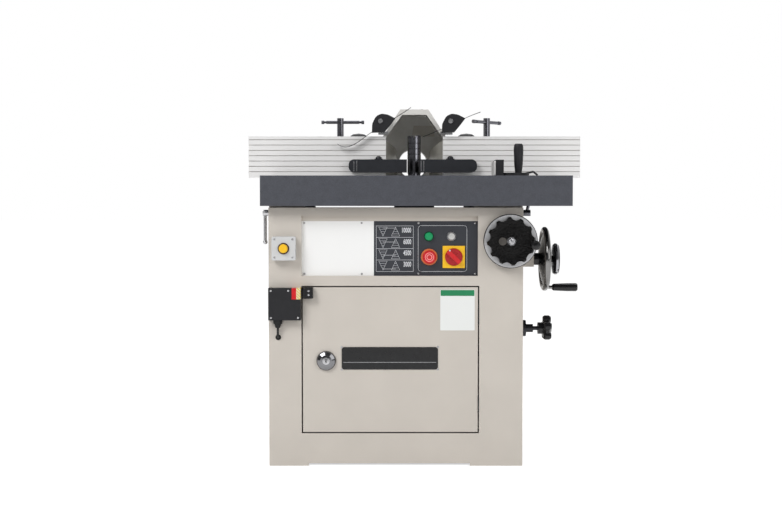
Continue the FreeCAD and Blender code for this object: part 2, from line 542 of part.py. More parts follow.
# Button box on the left of the front.
box_face = "-cabinet_front - box_depth"
case = padded("box_case", "XZ_Plane", (("-box_size / 2", "-box_size / 2"),
                                       ("box_size / 2", "-box_size / 2"),
                                       ("box_size / 2", "box_size / 2"), ("-box_size / 2", "box_size / 2")),
              "box_depth", ("-box_x", "-cabinet_front", "table_top - box_drop"))
soften(case, "box_corner", ACROSS)
box_hole = rod("box_hole", "button_stem + running_gap", "box_depth / 2 + overrun + seat_gap",
               ("-box_x", f"{box_face} - overrun", "table_top - box_drop"), "+Y")
ring_lip = bezel("ring_lip", "box_ring", "box_button + seat_gap", "box_ring_high",
                 ("-box_x", box_face, "table_top - box_drop"))
node("button_box", fuse("button_box", cut("drilled_case", case, box_hole), ring_lip))
node("box_button", push_button("box_button", "box_button", "box_button_high", "button_stem",
                               ("-box_x", box_face, "table_top - box_drop"), "button_travel + seat_gap"))
front_screws += [screw(f"box_screw{n}", (f"-box_x + {across} * box_size * 0.38", box_face,
                                         f"(table_top - box_drop) + {up} * box_size * 0.38"))
                 for n, (across, up) in enumerate(((-1, -1), (1, -1), (-1, 1), (1, 1)))]

# Door interlock: switch on the cabinet, actuator on the door, cable into the cabinet.
lock_face = "-cabinet_front - lock_depth"
lock_case = slab("lock_case", "-lock_left", "-lock_right", lock_face, "-cabinet_front",
                 "table_top - lock_bottom_drop",
                 "table_top - lock_top_drop")
lock_blocks = slab("lock_blocks", "-lock_right - blocks_width", "-lock_right",
                   f"{lock_face} - blocks_proud",
                   "-cabinet_front", "(table_top - lock_top_drop) - blocks_high",
                   "table_top - lock_top_drop")
node("interlock_switch", fuse("interlock_switch", lock_case, lock_blocks))
node("interlock_actuator", slab("interlock_actuator", "-door_left + actuator_offset",
                                "-door_left + actuator_offset + actuator_width",
                                "-cabinet_front - actuator_depth", "-cabinet_front",
                                "(table_top - door_top_drop) - actuator_high",
                                "table_top - door_top_drop"))
plate_screws += [screw(f"actuator_screw{n}", ("-door_left + actuator_offset + actuator_width * 0.58",
                                              "-cabinet_front - actuator_depth",
                                              f"(table_top - door_top_drop) - actuator_high * {share}"))
                 for n, share in enumerate((0.28, 0.66))]
node("door_screws", group("door_screws", plate_screws))
for n, (across, up) in enumerate(((0.08, 0.08), (0.92, 0.08), (0.08, 0.92), (0.62, 0.92))):
    front_screws.append(screw(f"interlock_screw{n}", (
        f"-lock_left + (lock_left - lock_right) * {across}", lock_face,
        f"table_top - lock_bottom_drop + (lock_bottom_drop - lock_top_drop) * {up}")))
node("front_screws", group("front_screws", front_screws))
gland_y = "-cabinet_front - gland_offset"
gland = turned("cable_gland", (
    ("cable_radius + running_gap", "0"), ("gland_radius", "0"), ("gland_radius", "gland_high"),
    ("gland_nose_radius", "gland_high"), ("gland_nose_radius * 0.7", "gland_high + gland_nose_high"),
    ("cable_radius + running_gap", "gland_high + gland_nose_high")),
    ("-gland_x", gland_y, "table_top - lock_bottom_drop"),
    "-Z")
grommet = turned("cable_grommet", (
    ("cable_radius + running_gap", "0"), ("grommet_radius", "0"), ("grommet_radius * 0.8", "grommet_proud"),
    ("cable_radius + running_gap", "grommet_proud")),
    ("-gland_x", "-cabinet_front", "table_top - grommet_drop"), "-Y")
node("cable_fittings", group("cable_fittings", [gland, grommet]))


def bent_tube(name, points, radius, bend):
    """Tube along straight runs joined by tangent arcs of one bend radius."""
    spots = [Vector(*(size(text) for text in point)) for point in points]
    edges = []
    start = spots[0]
    for before, corner, after in zip(spots, spots[1:], spots[2:]):
        back = (before - corner).normalize()
        ahead = (after - corner).normalize()
        half = back.getAngle(ahead) / 2
        reach = size(bend) / math.tan(half)
        middle = corner + (back + ahead).normalize() * (size(bend) / math.sin(half) - size(bend))
        edges.append(Part.LineSegment(start, corner + back * reach).toShape())
        edges.append(Part.Arc(corner + back * reach, middle, corner + ahead * reach).toShape())
        start = corner + ahead * reach
    edges.append(Part.LineSegment(start, spots[-1]).toShape())
    circle = Part.Wire(Part.Circle(spots[0], (spots[1] - spots[0]).normalize(), size(radius)).toShape())
    tube = DOC.addObject("Part::Feature", name)
    tube.Shape = Part.Wire(edges).makePipeShell([circle], True, False)
    length = sum(edge.Length for edge in edges)
    print(name, "length", round(length, 1), "bend", size(bend),
          "volume share", round(tube.Shape.Volume / (length * math.pi * size(radius) ** 2), 4))
    return tube


cable_route = (("-gland_x", gland_y, "(table_top - lock_bottom_drop) - gland_high - gland_nose_high / 2"),
               ("-gland_x", gland_y, "table_top - grommet_drop"),
               ("-gland_x", "-cabinet_front + cable_inside_length", "table_top - grommet_drop"))
node("interlock_cable", bent_tube("interlock_cable", cable_route, "cable_radius", "cable_bend"))

# Front handwheel: lobed wheel and dial ring on the lift shaft, with a turning crank handle.
boss_front = "-cabinet_front - boss_high"
dial_front = f"{boss_front} - seat_gap - dial_thick"
lobe_back = f"{dial_front} - lobe_gap"
lobe_front = f"{lobe_back} - lobe_thick"
dial = turned("dial", (("dial_inner", "0"), ("dial_radius", "0"), ("dial_radius", "dial_thick * 0.6"),
                       ("dial_radius - dial_thick * 0.4", "dial_thick"), ("dial_inner", "dial_thick")),
              ("wheel_x", f"{boss_front} - seat_gap", "table_top - wheel_drop"), "-Y")
node("dial_ring", dial)

blank = turned("lobe_blank", (("0", "-lobe_gap - dial_thick"), ("dial_inner", "-lobe_gap - dial_thick"),
                              ("dial_inner", "0"), ("lobe_radius", "0"),
                              ("lobe_radius", "lobe_thick * 0.75"),
                              ("lobe_radius * 0.94", "lobe_thick"),
                              ("lobe_radius * 0.62", "lobe_thick * 0.9"),
                              ("cap_radius * 1.6", "lobe_thick"), ("cap_radius", "lobe_thick"),
                              ("cap_radius * 0.8", "lobe_thick + cap_high * 0.7"),
                              ("0", "lobe_thick + cap_high")),
                              ("wheel_x", lobe_back, "table_top - wheel_drop"), "-Y")
scallops = []
for n in range(int(size("lobe_count"))):
    turn = f"(360 * ({n} + 0.66) / lobe_count)"
    scallops.append(rod(f"scallop{n}", "scallop_radius", "lobe_thick + 2 * overrun",
                        (f"wheel_x + (lobe_radius + scallop_offset) * cos({turn})",
                         f"{lobe_front} - overrun",
                         f"(table_top - wheel_drop) + (lobe_radius + scallop_offset) * sin({turn})"), "+Y"))
indicator = rod("indicator", "indicator_radius", "lobe_thick * 0.2 + indicator_high",
                ("wheel_x - indicator_x", f"{lobe_back} - lobe_thick * 0.8", "table_top - wheel_drop"),
                "-Y")
crank_spot = ("wheel_x + crank_x", f"{lobe_back} - lobe_thick * 0.5",
              "(table_top - wheel_drop) - crank_drop")
crank_pin = rod("crank_pin_rod", "crank_pin", "lobe_thick * 0.5 + crank_gap + crank_length * 0.8",
                crank_spot, "-Y")
shaft_seat = rod("shaft_seat", "shaft_radius + running_gap",
                 "lobe_gap + dial_thick + lobe_thick / 2 + overrun",
                 ("wheel_x", f"{lobe_back} - lobe_thick / 2", "table_top - wheel_drop"), "+Y")
node("front_handwheel", cut("front_handwheel", fuse("lobed_wheel", cut("lobed", blank, *scallops),
                                                    indicator,
                                                    crank_pin), shaft_seat))
crank = turned("crank_grip", (("0", "0"), ("crank_neck_radius", "0"),
                              ("crank_neck_radius", "crank_length * 0.1"),
                              ("crank_radius * 0.72", "crank_length * 0.18"),
                              ("crank_radius * 0.86", "crank_length * 0.5"),
                              ("crank_radius", "crank_length * 0.76"),
                              ("crank_radius * 0.9", "crank_length * 0.9"),
                              ("crank_radius * 0.55", "crank_length * 0.98"), ("0", "crank_length")),
               (crank_spot[0], f"{lobe_front} - crank_gap", crank_spot[2]), "-Y")
crank_bore = rod("crank_bore", "crank_pin + running_gap", "crank_length * 0.8 + overrun + running_gap",
                 (crank_spot[0], f"{lobe_front} - crank_gap + overrun", crank_spot[2]), "-Y")
node("front_crank", cut("front_crank", crank, crank_bore))


def mitre_gear(name, apex, along):
    """Mitre gear blank with its hub; its pitch cone starts from apex and runs clear of its mate."""
    return turned(name, (("0", "gear_mesh"), ("gear_radius - gear_face", "gear_mesh"),
                         ("gear_radius", "gear_face + gear_mesh"),
                         ("gear_hub", "gear_face + gear_mesh + gear_hub_long / 3"),
                         ("gear_hub", "gear_face + gear_hub_long"), ("0", "gear_face + gear_hub_long")),
                  apex, along)


apex_near = ("wheel_x", "lift_y - gear_radius + gear_face", "table_top - wheel_drop")
shaft_start = f"{lobe_back} - lobe_thick / 2 + running_gap"
shaft_end = "lift_y + gear_plate_offset + gear_plate"
shaft = rod("lift_shaft_rod", "shaft_radius", f"{shaft_end} - ({shaft_start})",
            ("wheel_x", shaft_start, "table_top - wheel_drop"), "+Y")
gear_near = mitre_gear("shaft_gear", apex_near, "-Y")
node("lift_shaft", fuse("lift_shaft", shaft, gear_near))
gear_low = mitre_gear("screw_gear", ("wheel_x", "lift_y",
                                     "(table_top - wheel_drop) - gear_radius + gear_face"), "-Z")
screw_rod = rod("lift_screw_rod", "lift_radius",
                "lift_bottom_drop - wheel_drop - gear_radius + gear_face - gear_mesh",
                ("wheel_x", "lift_y", "table_top - lift_bottom_drop"))
node("lift_screw", fuse("lift_screw", screw_rod, gear_low))

# Side handwheel on the belt-tension screw, with a lock knob and a turning handle.
hub_start = "cabinet_right + bracket_long + seat_gap"
hub_tip = f"side_wheel_x + rim_thick - ({hub_start})"
rim_mid = f"side_wheel_x - ({hub_start})"
dish = turned("side_dish", (("0", "0"), ("hub_radius", "0"), ("hub_radius", "hub_long"),
                            ("rim_radius - rim_thick * 0.7", f"{rim_mid} - web_thick / 2"),
                            ("rim_radius - rim_thick * 0.7", f"{rim_mid} + web_thick / 2"),
                            ("web_hub", "hub_long + web_thick"), ("web_hub", hub_tip), ("0", hub_tip)),
              (hub_start, "-side_y", "table_top - side_drop"), "+X")
rim = DOC.addObject("Part::Torus", "side_rim")
bind(rim, "Radius1", "rim_radius")
bind(rim, "Radius2", "rim_thick")
place(rim, ("side_wheel_x", "-side_y", "table_top - side_drop"), TURNS["+X"])
tension = rod("tension_screw", "shaft_radius", f"{hub_start} - screw_end_x + hub_long",
              ("screw_end_x", "-side_y", "table_top - side_drop"), "+X")
lock_pin = rod("lock_pin", "lock_stem", "lock_knob_x + lock_knob_thick * 0.6 - side_wheel_x",
               ("side_wheel_x", "-side_y", "table_top - side_drop"), "+X")
handle_start = "side_wheel_x + rim_thick + side_handle_gap"
handle_z = "(table_top - side_drop) - rim_radius + side_handle_pin / 2"
handle_pin = rod("handle_pin", "side_handle_pin",
                 f"{handle_start} + side_handle_length * 0.8 - side_wheel_x",
                 ("side_wheel_x", "-side_y", handle_z), "+X")
node("side_handwheel", fuse("side_handwheel", dish, rim, tension, lock_pin, handle_pin))
knob = turned("lock_disc", (("0", "0"), ("lock_knob_radius * 0.5", "0"),
                            ("lock_knob_radius * 0.9", "lock_knob_thick * 0.12"),
                            ("lock_knob_radius", "lock_knob_thick * 0.4"),
                            ("lock_knob_radius", "lock_knob_thick * 0.6"),
                            ("lock_knob_radius * 0.9", "lock_knob_thick * 0.88"),
                            ("lock_knob_radius * 0.4", "lock_knob_thick"), ("0", "lock_knob_thick")),
              ("lock_knob_x", "-side_y", "table_top - side_drop"), "+X")
knob_bore = rod("lock_bore", "lock_stem + running_gap", "lock_knob_thick * 0.6 + running_gap + overrun",
                ("lock_knob_x - overrun", "-side_y", "table_top - side_drop"), "+X")
node("side_lock_knob", cut("side_lock_knob", knob, knob_bore))
side_grip = turned("side_grip", (("0", "0"), ("side_handle_tip * 0.7", "0"),
                                 ("side_handle_tip", "side_handle_length * 0.06"),
                                 ("side_handle_radius", "side_handle_length * 0.6"),
                                 ("side_handle_radius", "side_handle_length * 0.95"),
                                 ("side_handle_radius * 0.8", "side_handle_length"),
                                 ("0", "side_handle_length")),
                   (handle_start, "-side_y", handle_z), "+X")
side_bore = rod("side_bore", "side_handle_pin + running_gap",
                "side_handle_length * 0.8 + running_gap + overrun",
                (f"{handle_start} - overrun", "-side_y", handle_z), "+X")
node("side_handle", cut("side_handle", side_grip, side_bore))

# Star knob: clamp screw for the motor slide.
clamp_face = "nut_x + nut_long / 2"
node("star_flange", turned("star_flange", (("star_stem + running_gap", "0"), ("star_flange", "0"),
                                           ("star_flange", "star_flange_thick"),
                                           ("star_sleeve", "star_flange_thick"),
                                           ("star_sleeve", "star_flange_thick + star_sleeve_long"),
                                           ("star_stem + running_gap",
                                            "star_flange_thick + star_sleeve_long")),
                           ("cabinet_right", "-side_y", "table_top - star_drop"), "+X"))
hub_x = "cabinet_right + star_flange_thick + star_sleeve_long + star_stem_out"
star_stem = rod("star_stem_rod", "star_stem", f"{hub_x} - ({clamp_face}) - seat_gap",
                (f"{clamp_face} + seat_gap", "-side_y", "table_top - star_drop"), "+X")
star_hub = rod("star_hub_disc", "star_hub", "star_hub_long", (hub_x, "-side_y", "table_top - star_drop"),
               "+X")
star_core = turned("star_core", (("0", "0"), ("star_radius * 0.6", "0"),
                                 ("star_radius * 0.74", "star_thick * 0.3"),
                                 ("star_radius * 0.74", "star_thick * 0.7"),
                                 ("star_radius * 0.35", "star_thick"), ("0", "star_thick")),
                   (f"{hub_x} + star_hub_long", "-side_y", "table_top - star_drop"), "+X")
lobe_outline = (("0", "0"), ("star_lobe * 0.7", "0"), ("star_lobe", "star_thick * 0.22"),
                ("star_lobe", "star_thick * 0.72"), ("star_lobe * 0.7", "star_thick * 0.94"),
                ("0", "star_thick * 0.94"))
lobes = []
for n in range(int(size("star_lobes"))):
    turn = f"(360 * ({n} + 0.25) / star_lobes)"
    lobes.append(turned(f"star_lobe{n}", lobe_outline,
                        (f"{hub_x} + star_hub_long", f"-side_y + (star_radius - star_lobe) * cos({turn})",
                         f"table_top - star_drop + (star_radius - star_lobe) * sin({turn})"), "+X"))
node("star_knob", fuse("star_knob", star_stem, star_hub, star_core, *lobes))

# Lock levers at the top of the left and right sides.
left_head = rod("left_head", "lever_radius", "lever_head",
                ("-cabinet_left - seat_gap", "-lever_y", "table_top - lever_drop"), "-X")
left_pin = rod("left_pin", "lever_pin", "lever_inside_length",
               ("-cabinet_left - seat_gap - running_gap", "-lever_y", "table_top - lever_drop"), "+X")
left_arm_x = "-cabinet_left - seat_gap - lever_head * 0.7"
left_arm = rod("left_arm", "lever_rod", "lever_length",
               (left_arm_x, "-lever_y", "table_top - lever_drop"), "-Z")
left_ball = ball("left_ball", "lever_ball", (left_arm_x, "-lever_y",
                                             "(table_top - lever_drop) - lever_length - lever_ball / 2"))
node("left_lock_lever", fuse("left_lock_lever", left_head, left_pin, left_arm, left_ball))
right_head = rod("right_head", "lever_radius", "lever_head + lever_rod",
                 ("cabinet_right + seat_gap", "-lever_y", "table_top - lever_drop"), "+X")
right_pin = rod("right_pin", "lever_pin", "lever_inside_length",
                ("cabinet_right + seat_gap + running_gap", "-lever_y", "table_top - lever_drop"), "-X")
right_arm = DOC.addObject("Part::Cylinder", "right_arm")
bind(right_arm, "Radius", "lever_rod")
bind(right_arm, "Height", "lever_length * 0.8")
place(right_arm, ("cabinet_right + seat_gap + lever_head * 0.7", "-lever_y", "table_top - lever_drop"),
      Rotation(Vector(0, 1, 0), size("lever_tilt")))
node("right_lock_lever", fuse("right_lock_lever", right_head, right_pin, right_arm))

# Quill in its cast guide under the table; an arm on the quill carries the lift nut.
guide_top = "table_top - table_plate"
tube = turned("guide_tube", (("quill_radius + running_gap", "0"), ("guide_radius", "0"),
                             ("guide_radius",
                              f"{guide_top} - guide_flange_thick - (table_top - guide_bottom_drop)"),
                             ("guide_flange",
                              f"{guide_top} - guide_flange_thick - (table_top - guide_bottom_drop)"),
                             ("guide_flange", f"{guide_top} - (table_top - guide_bottom_drop)"),
                             ("quill_radius + running_gap",
                              f"{guide_top} - (table_top - guide_bottom_drop)")),
              ("0", "0", "table_top - guide_bottom_drop"))
plate_front = "lift_y + gear_plate_offset"
web = slab("guide_web", "web_left", "web_left + 2 * gear_plate_left", "guide_radius - lug_thick / 2",
           plate_front,
           "table_top - web_bottom_drop", "table_top - gear_plate_top_drop")
back_plate = slab("gear_plate", "web_left", "gear_plate_right", plate_front, f"{plate_front} + gear_plate",
                  "table_top - gear_plate_bottom_drop", "table_top - gear_plate_top_drop")
lug_top = "(table_top - wheel_drop) - gear_radius - gear_hub_long - seat_gap"
lug = slab("screw_lug", "wheel_x - gear_hub - lift_radius", "wheel_x + gear_hub + lift_radius",
           "lift_y - gear_hub", plate_front, f"{lug_top} - lug_thick", lug_top)
shaft_bore = rod("shaft_bore", "shaft_radius + running_gap", "gear_plate + 2 * overrun",
                 ("wheel_x", f"{plate_front} - overrun", "table_top - wheel_drop"), "+Y")
lift_bore = rod("lift_bore", "lift_radius + running_gap", "lug_thick + 2 * overrun",
                ("wheel_x", "lift_y", f"{lug_top} - lug_thick - overrun"))
node("quill_guide", cut("quill_guide", fuse("guide_casting", tube, web, back_plate, lug), shaft_bore,
                        lift_bore))

sleeve = turned("quill_sleeve", (("quill_radius - quill_wall", "0"), ("quill_radius", "0"),
                                 ("quill_radius",
                                  "(quill_bottom_drop - quill_top_drop)"),
                                 ("quill_radius - quill_wall",
                                  "(quill_bottom_drop - quill_top_drop)")),
                                 ("0", "0", "table_top - quill_bottom_drop"))
yoke = turned("quill_yoke", (("quill_radius - quill_wall / 2", "0"), ("arm_radius", "0"),
                             ("arm_radius", "arm_thick"),
                             ("quill_radius - quill_wall / 2", "arm_thick")),
                             ("0", "0", "table_top - arm_bottom_drop"))
arm_in = slab("quill_arm_in", "-arm_width / 2", "arm_width / 2", "quill_radius", "lift_y + arm_width / 2",
              "table_top - arm_bottom_drop", "(table_top - arm_bottom_drop) + arm_thick")
arm_out = slab("quill_arm_out", "-arm_width / 2", "wheel_x + arm_width / 2", "lift_y - arm_width / 2",
               "lift_y + arm_width / 2", "table_top - arm_bottom_drop",
               "(table_top - arm_bottom_drop) + arm_thick")
nut_bore = rod("nut_bore", "lift_radius + running_gap", "arm_thick + 2 * overrun",
               ("wheel_x", "lift_y", "(table_top - arm_bottom_drop) - overrun"))
node("quill", cut("quill", fuse("quill_casting", sleeve, yoke, arm_in, arm_out), nut_bore))


def bearing(name, low):
    """Ball bearing shown as one ring with a groove on each face."""
    inner = "shoulder_radius + running_gap"
    outer = "quill_radius - quill_wall - running_gap"
    third = f"(({outer}) - ({inner})) / 3"
    dip = "bearing_high / 8"
    return turned(name, ((inner, "0"), (f"{inner} + {third}", "0"), (f"{inner} + {third}", dip),
                         (f"{outer} - {third}", dip), (f"{outer} - {third}", "0"), (outer, "0"),
                         (outer, "bearing_high"), (f"{outer} - {third}", "bearing_high"),
                         (f"{outer} - {third}", f"bearing_high - {dip}"),
                         (f"{inner} + {third}", f"bearing_high - {dip}"),
                         (f"{inner} + {third}", "bearing_high"), (inner, "bearing_high")), ("0", "0", low))


node("quill_bearings", group("quill_bearings", [
    bearing("lower_bearing", "(table_top - quill_bottom_drop) + bearing_margin"),
    bearing("upper_bearing", "(table_top - quill_top_drop) - bearing_margin - bearing_high")]))

# Spindle with its loose collars and slotted nut.
node("spindle", turned("spindle", (("0", "table_top - spindle_bottom_drop"),
                                   ("spline_radius", "table_top - spindle_bottom_drop"),
                                   ("spline_radius", "table_top - spline_top_drop"),
                                   ("shoulder_radius", "table_top - spline_top_drop"),
                                   ("shoulder_radius", "table_top + collar_base_rise"),
                                   ("spindle_radius", "table_top + collar_base_rise"),
                                   ("spindle_radius", "table_top + spindle_rise"),
                                   ("0", "table_top + spindle_rise")), ("0", "0", "0")))
collar_bore = "spindle_radius + running_gap"
thin = "((collar_top_rise - collar_base_rise)) / (collar_count + 1.5)"


def collar(name, low, high):
    """Spacing collar with eased edges."""
    ease = "collar_outer / 20"
    return turned(name, ((collar_bore, "0"), (f"collar_outer - {ease}", "0"), ("collar_outer", ease),
                         ("collar_outer", f"{high} - {ease}"), (f"collar_outer - {ease}", high),
                         (collar_bore, high)),
                  ("0", "0", low))


stack = [collar("collar_base", "table_top + collar_base_rise", f"2.5 * {thin}")]
for n in range(int(size("collar_count")) - 1):
    stack.append(collar(f"collar{n}", f"(table_top + collar_base_rise) + {thin} * (2.5 + {n})", thin))
nut = collar("spindle_nut", "table_top + collar_top_rise",
             "(nut_rise - collar_top_rise)")
nut_high = "(nut_rise - collar_top_rise) + 2 * overrun"
slots = [box("nut_slot_x", ("2 * (collar_outer + nut_slot_deep)", "nut_slot", nut_high),
             ("0", "0", "table_top + spindle_rise")),
         box("nut_slot_y", ("nut_slot", "2 * (collar_outer + nut_slot_deep)", nut_high),
             ("0", "0", "table_top + spindle_rise"))]
node("spindle_collars", group("spindle_collars", stack + [cut("slotted_nut", nut, *slots)]))

# Stepped pulleys, flat belt, motor and the bars that carry them.
steps = [f"spindle_step{n}" for n in (1, 2, 3, 4)]
motor_steps = [f"step_sum - {name}" for name in steps]
drop = "(bridge_bottom_drop - pulley_bottom_drop)"


def stepped(points, radii, start):
    """Outline of a stepped pulley, bottom step first."""
    for n, radius in enumerate(radii):
        points.append((radius, f"{start} + {n} * step_high"))
        points.append((radius, f"{start} + {n + 1} * step_high"))
    return points


outline = stepped([("spline_radius + running_gap", "0"), ("pulley_hub", "0"), ("pulley_hub", drop)], steps,
                  drop)
outline.append(("spline_radius + running_gap", f"{drop} + 4 * step_high"))
node("spindle_pulley", turned("spindle_pulley", outline, ("0", "0", "table_top - bridge_bottom_drop")))
motor_outline = stepped([("0", "0")], motor_steps, "0")
motor_outline += [("motor_shaft", "4 * step_high"),
                  ("motor_shaft",
                   "(pulley_bottom_drop - motor_bottom_drop) + motor_shaft * 3"),
                  ("0",
                   "(pulley_bottom_drop - motor_bottom_drop) + motor_shaft * 3")]
node("motor_pulley", turned("motor_pulley", motor_outline,
                            ("motor_x", "0", "table_top - pulley_bottom_drop")))


def belt_loop(grow):
    """Face inside a belt line round both pulleys."""
    small = size("spindle_step2") + grow
    large = size("step_sum - spindle_step2") + grow
    far = size("motor_x")
    lean = math.asin((large - small) / far)
    up = Vector(-math.sin(lean), math.cos(lean), 0)
    down = Vector(up.x, -up.y, 0)
    centre = Vector(far, 0, 0)
    edges = [Part.Arc(up * small, Vector(-small, 0, 0), down * small).toShape(),
             Part.LineSegment(down * small, centre + down * large).toShape(),
             Part.Arc(centre + down * large, centre + Vector(large, 0, 0), centre + up * large).toShape(),
             Part.LineSegment(centre + up * large, up * small).toShape()]
    return Part.Face(Part.Wire(edges))


band = belt_loop(size("seat_gap + belt_thick")).cut(belt_loop(size("seat_gap")))
belt = DOC.addObject("Part::Feature", "belt")
belt.Shape = band.extrude(Vector(0, 0, size("belt_high")))
place(belt, ("0", "0", "(table_top - pulley_bottom_drop) + step_high + (step_high - belt_high) / 2"))
node("drive_belt", belt)

slide_bottom = "table_top - slide_plate_bottom_drop"
motor_barrel = turned("motor_barrel", (("0", "0"), ("motor_radius * 0.8", "0"),
                                       ("motor_radius", "motor_radius * 0.15"),
                                       ("motor_radius",
                                        f"{slide_bottom} - (table_top - motor_bottom_drop)"),
                                       ("0", f"{slide_bottom} - (table_top - motor_bottom_drop)")),
                                       ("motor_x", "0", "table_top - motor_bottom_drop"))
shaft_hole = rod("motor_shaft_hole", "motor_shaft + running_gap", "motor_shaft * 3 + running_gap + overrun",
                 ("motor_x", "0", "(table_top - motor_bottom_drop) - overrun"))
slide = slab("slide_plate", "slide_plate_left", "slide_plate_right", "-slide_front", "slide_back",
             slide_bottom,
             f"{slide_bottom} + slide_plate_thick")
nut_block = slab("tension_nut", "nut_x - nut_long / 2", "nut_x + nut_long / 2", "-side_y - nut_size / 2",
                 "-side_y + nut_size / 2", "(table_top - side_drop) - nut_size / 2", slide_bottom)
clamp_bar = slab("clamp_bar_flat", f"{clamp_face} - clamp_bar", clamp_face, "-side_y - nut_size / 2",
                 "-side_y + nut_size / 2", "(table_top - star_drop) - nut_size / 2",
                 "(table_top - side_drop) - nut_size / 2")
terminal = box("terminal_box", ("motor_box", "motor_box", "motor_box * 1.4"),
               ("motor_x", "-motor_radius", "(table_top - motor_bottom_drop) + motor_box"))
tension_bore = rod("tension_bore", "shaft_radius + running_gap", "nut_long + 2 * overrun",
                   ("nut_x - nut_long / 2 - overrun", "-side_y", "table_top - side_drop"), "+X")
node("motor", cut("motor", fuse("motor_frame", motor_barrel, slide, nut_block, clamp_bar, terminal),
                  shaft_hole,
                  tension_bore))

bars = [slab(f"slide_rail{side}", "-cabinet_left + sheet", "cabinet_right - sheet",
             f"{side} * rail_y - rail_bar / 2",
             f"{side} * rail_y + rail_bar / 2", f"{slide_bottom} - slide_gap - rail_bar",
             f"{slide_bottom} - slide_gap")
        for side in (-1, 1)]
bridge = slab("pulley_bridge", "-cabinet_left + sheet", "cabinet_right - sheet", "-bridge_width / 2",
              "bridge_width / 2",
              "table_top - bridge_bottom_drop", "(table_top - bridge_bottom_drop) + bridge_thick")
bridge_bore = rod("bridge_bore", "pulley_hub + running_gap", "bridge_thick + 2 * overrun",
                  ("0", "0", "(table_top - bridge_bottom_drop) - overrun"))
node("cross_bars", group("cross_bars", bars + [cut("bored_bridge", bridge, bridge_bore)]))

# Fence: two grooved plates on cast bases, either side of the hood; it slides as one on the table.
floor_z = "table_top + slide_gap"
plate_back = "-fence_front + fence_thick"
base_front = f"{plate_back} + slide_gap"


def fence_plate(name, side):
    """Extruded plate with grooves along its face."""
    spot = (f"{side} * (fence_gap + fence_length / 2)", "-fence_front + fence_thick / 2", floor_z)
    bar = box(name + "_bar", ("fence_length", "fence_thick", "fence_high"), spot)
    grooves = [box(f"{name}_groove{n}", ("fence_length + 2 * overrun", "groove_deep * 2", "groove_high"),
                   (spot[0], "-fence_front",
                    f"{floor_z} + fence_high - groove_top - {n} * groove_pitch - groove_high / 2"))
               for n in range(int(size("groove_count")))]
    return cut(name, bar, *grooves)


node("fence_left", fence_plate("fence_left", -1))
node("fence_right", fence_plate("fence_right", 1))

bases = []
caps = []
for side, knob_x in ((-1, "dome_left_x"), (1, "dome_right_x")):
    upright = box(f"base_upright{side}", ("base_outer - base_inner", "base_thick",
                                          f"(table_top + base_rise) - ({floor_z})"),
                  (f"{side} * (base_inner + base_outer) / 2", f"{base_front} + base_thick / 2", floor_z))
    foot = box(f"base_foot{side}", ("foot_outer - hood_half", f"foot_back - ({base_front})", "foot_thick"),
               (f"{side} * (foot_outer + hood_half) / 2", f"({base_front} + foot_back) / 2", floor_z))
    lug = box(f"base_lug{side}", ("lug_width", f"dome_y + lug_width / 2 - ({base_front})",
                                  "(base_rise - lug_rise)"),
              (f"{side} * {knob_x}", f"({base_front} + dome_y + lug_width / 2) / 2",
               "table_top + lug_rise"))
    hole = rod(f"base_hole{side}", "post_stem + running_gap", "foot_thick + 2 * overrun",
               (f"{side} * post_x", "post_y", f"{floor_z} - overrun"))
    bases.append(cut(f"base{side}", fuse(f"base_casting{side}", upright, foot, lug), hole))
    lift = f"{floor_z} + fence_high + groove_high - (table_top + base_rise)"
    caps.append(turned(f"dome{side}", (("0", "0"), ("dome_stem", "0"), ("dome_stem", lift),
                                       ("dome_radius", lift),
                                       ("dome_radius", f"{lift} + dome_high * 0.3"),
                                       ("dome_radius * 0.7", f"{lift} + dome_high * 0.75"),
                                       ("0", f"{lift} + dome_high")),
                                       (f"{side} * {knob_x}", "dome_y", "table_top + base_rise")))
node("fence_bases", group("fence_bases", bases))


def hood_outline(wall, brow):
    """Arch of the hood, drawn in by a wall at the sides and by a brow at the top."""
    rise = f"-({floor_z})"
    right = ((f"hood_half - ({wall})", "0"), (f"hood_half - ({wall})",
                                              f"(table_top + shoulder_rise) {rise} - ({wall}) * 0.6"),
             (f"hood_top_half - ({wall}) * 0.8", f"(table_top + hood_rise) {rise} - ({brow})"))
    left = tuple((f"-({across})", up) for across, up in reversed(right))
    return right + left


shell = padded("hood_shell", "XZ_Plane", hood_outline("0", "0"), "hood_front + hood_back",
               ("0", "-hood_front", floor_z),
               backwards=True)
inside = padded("hood_inside", "XZ_Plane", hood_outline("sheet", "sheet"),
                "hood_front + hood_back - 2 * sheet",
                ("0", "-hood_front + sheet", f"{floor_z} - running_gap"), backwards=True)
mouth = padded("hood_mouth", "XZ_Plane", hood_outline("hood_rim", "hood_brow"), "sheet + 2 * overrun",
               ("0", "-hood_front - overrun", f"{floor_z} - running_gap"), backwards=True)
outlet = rod("hood_outlet", "port_radius - port_wall", "sheet + 2 * overrun",
             ("0", "hood_back - sheet - overrun", "table_top + port_rise"),
             "+Y")
port = turned("dust_port", (("port_radius - port_wall", "0"), ("port_radius", "0"),
                            ("port_radius", "port_length"),
                            ("port_radius - port_wall", "port_length")),
                            ("0", "hood_back", "table_top + port_rise"), "+Y")
hold_back = "-hold_y + hold_thick / 2 + seat_gap"
arms = []
